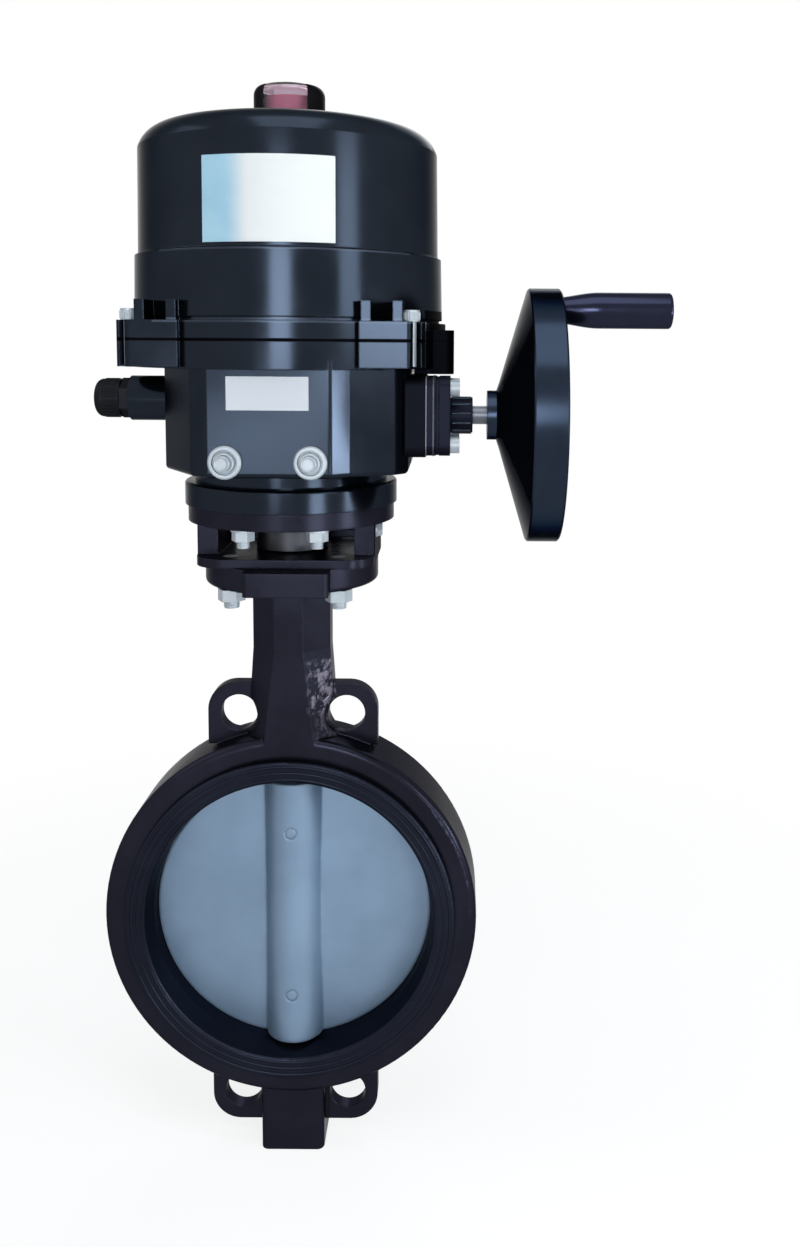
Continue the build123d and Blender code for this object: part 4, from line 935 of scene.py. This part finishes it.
# %% Sealing nuts of the travel stops
stop_x, stop_z, case_front = 26.0, 331.0, -100.0
stop_places = [(-stop_x, case_front, stop_z), (stop_x, case_front, stop_z)]
sealing_nut = [(5.1, 0.0), (10.3, 0.0), (10.3, 2.2), (9.5, 3.1), (7.7, 3.1), (7.5, 1.4),
               (6.6, 1.4), (6.5, 5.4), (5.9, 6.2), (5.1, 6.2)]
nuts = lathed("stop_sealing_nuts", [sealing_nut], stop_places, (0, -1, 0), "frame", "zinc_steel")
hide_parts("stop_nuts")
screw_face, screw_radius = 11.0, 5.0
rolled_rim = [(screw_radius - 1.5, screw_face - 0.3), (screw_radius - 0.2, screw_face - 0.3),
              (screw_radius - 0.2, screw_face + 0.5), (screw_radius - 0.7, screw_face + 0.9),
              (screw_radius - 1.5, screw_face + 0.5)]
lathed("stop_screw_rims", [rolled_rim], stop_places, (0, -1, 0), "frame", "zinc_steel")

# %% [markdown]
# Thin metal shims show as bright lines between the plates of the shaft housing. Each is a ring
# that follows the housing's rounded square and stands a little proud of it. A third ring closes
# the groove between the plates, and the boss round the shaft gets its cast ribs.

# %% Shims of the shaft housing
worm_y, worm_z = -49.0, 357.7
housing_half, housing_corner = 25.0, 6.0


def rounded_square(half, corner, steps=6):
    """Corners of a square with rounded edges, as (y, z) pairs round the worm's axis."""
    points = []
    for quarter in range(4):
        middle = radians(90 * quarter)
        for step in range(steps + 1):
            angle = middle + radians(90 * step / steps)
            side_y = 1 if quarter in (0, 3) else -1
            side_z = 1 if quarter in (0, 1) else -1
            points.append((worm_y + side_y * (half - corner) + corner * cos(angle),
                           worm_z + side_z * (half - corner) + corner * sin(angle)))
    return points


def shim(name, start, thickness, proud, slot, finish=None):
    work = bmesh.new()
    outer = rounded_square(housing_half + proud, housing_corner + proud)
    inner = rounded_square(housing_half - 2.0, housing_corner - 2.0)
    rows = []
    for ring, level in ((inner, start), (outer, start), (outer, start + thickness),
                        (inner, start + thickness)):
        rows.append([work.verts.new(Vector((level, y, z)) * mm) for y, z in ring])
    for here, there in zip(rows, rows[1:] + rows[:1]):
        bridged(work, here, there)
    mesh = finished_mesh(work, name, smooth=False)
    mesh.materials.append(finish or finishes[slot])
    return settled(name, mesh, "frame", slot)


shim_outer_start, shim_inner_start, plate_joint_start = 94.5, 99.4, 101.6
shim("housing_shim_outer", shim_outer_start, 1.1, 0.35, "stainless")
shim("housing_shim_inner", shim_inner_start, 0.9, 0.25, "dark_steel")
shim("housing_joint_ring", plate_joint_start, 1.8, -0.5, "actuator_enamel",
     finishes["housing_casting"])
boss_rib_start, boss_rib_radius, boss_rib_length, boss_rib_count = 111.5, 11.2, 12.6, 11
grown("housing_boss_ribs", ring_of_ribs, [(boss_rib_start, worm_y, worm_z)], "frame",
      "actuator_enamel", Radius=boss_rib_radius * mm, Thickness=1.1 * mm,
      Length=boss_rib_length * mm, Count=boss_rib_count, Turn=(0.0, pi / 2, 0.0))
print("shims placed at", shim_outer_start, "and", shim_inner_start, "mm")

# %% [markdown]
# Two thin dark cheeks lie on the outside of the clear dome, dark sheets that paint shade on its
# sides, and leave a window open to the front and to the back, so that the red drum shows there.
# Each follows the outside of the dome, its rounded shoulder too. It is a closed outline turned
# through part of a circle, made in bmesh from rows of the same corners.

# %% Cheeks of the sight dome
dome_low, dome_top, dome_radius, dome_shoulder = 551.95, 575.3, 23.7, 6.0
cheek_half_angle, cheek_steps = 52.0, 26
shoulder_angles = [0, 14, 28, 42, 55]


def shoulder(proud):
    """The dome's outline, moved outwards by proud, from its foot up round its shoulder."""
    centre_radius, centre_level = dome_radius - dome_shoulder, dome_top - dome_shoulder
    reach = dome_shoulder + proud
    return [(dome_radius + proud, dome_low)] + [
        (centre_radius + reach * cos(radians(angle)), centre_level + reach * sin(radians(angle)))
        for angle in shoulder_angles]


def part_turned(name, outline, middles, half_angle, steps, slot):
    """An outline of (radius, height) in mm turned round Z through part of a circle."""
    work = bmesh.new()
    for middle in middles:
        rows = []
        for step in range(steps + 1):
            angle = middle + radians(half_angle * (2 * step / steps - 1))
            rows.append([work.verts.new(Vector((radius * cos(angle), radius * sin(angle), level))
                                        * mm) for radius, level in outline])
        for here, there in zip(rows, rows[1:]):
            bridged(work, here, there)
        work.faces.new(rows[0])
        work.faces.new(rows[-1])
    return settled(name, finished_mesh(work, name), "frame", slot)


# painted shade: dark sheets on the dome's two sides
part_turned("painted_shade_dome_cheeks", shoulder(0.30) + shoulder(-0.15)[::-1], (0.0, pi), cheek_half_angle,
            cheek_steps, "switch_plastic")
foot_ring = [(23.5, dome_low), (24.3, dome_low), (24.3, 554.0), (24.0, 554.4), (23.5, 554.4)]
lathed("dome_foot_ring", [foot_ring], [(0, 0, 0)], (0, 0, 1), "frame", "switch_plastic", steps=96)
print("cheeks reach", cheek_half_angle, "degrees to each side")

# %% [markdown]
# Two last small things. A raised bead runs along the rear edge of the bracket's foot, and an
# earth screw with its washer sits high on the bracket's right leg.

# %% Bead and earth screw
bead_outline = [(41.0, 260.5), (50.0, 260.5), (50.0, 266.0), (49.2, 267.3), (47.8, 267.9),
                (43.2, 267.9), (41.8, 267.3), (41.0, 266.0)]
bead_half_length = 47.0


def bar_along_x(name, outline, half_length, slot):
    """A bar with the outline (y, z) in mm, from -half_length to half_length."""
    work = bmesh.new()
    ends = [[work.verts.new(Vector((x, y, z)) * mm) for y, z in outline]
            for x in (-half_length, half_length)]
    bridged(work, *ends)
    work.faces.new(ends[0])
    work.faces.new(ends[1])
    return settled(name, finished_mesh(work, name, smooth=False), "frame", slot)


bar_along_x("bracket_bead", bead_outline, bead_half_length, "valve_coating")
earth_place = [(60.0, -20.0, 277.2)]
washer_outline = [(0.0, 0.0), (5.4, 0.0), (5.4, 1.0), (0.0, 1.0)]
head_outline = [(0.0, 1.0), (4.9, 1.0), (4.9, 3.9), (4.3, 4.4), (0.0, 4.4)]
lathed("earth_washer", [washer_outline], earth_place, (1, 0, 0), "frame", "zinc_steel", steps=32)
lathed("earth_screw", [head_outline], earth_place, (1, 0, 0), "frame", "zinc_steel", steps=6)
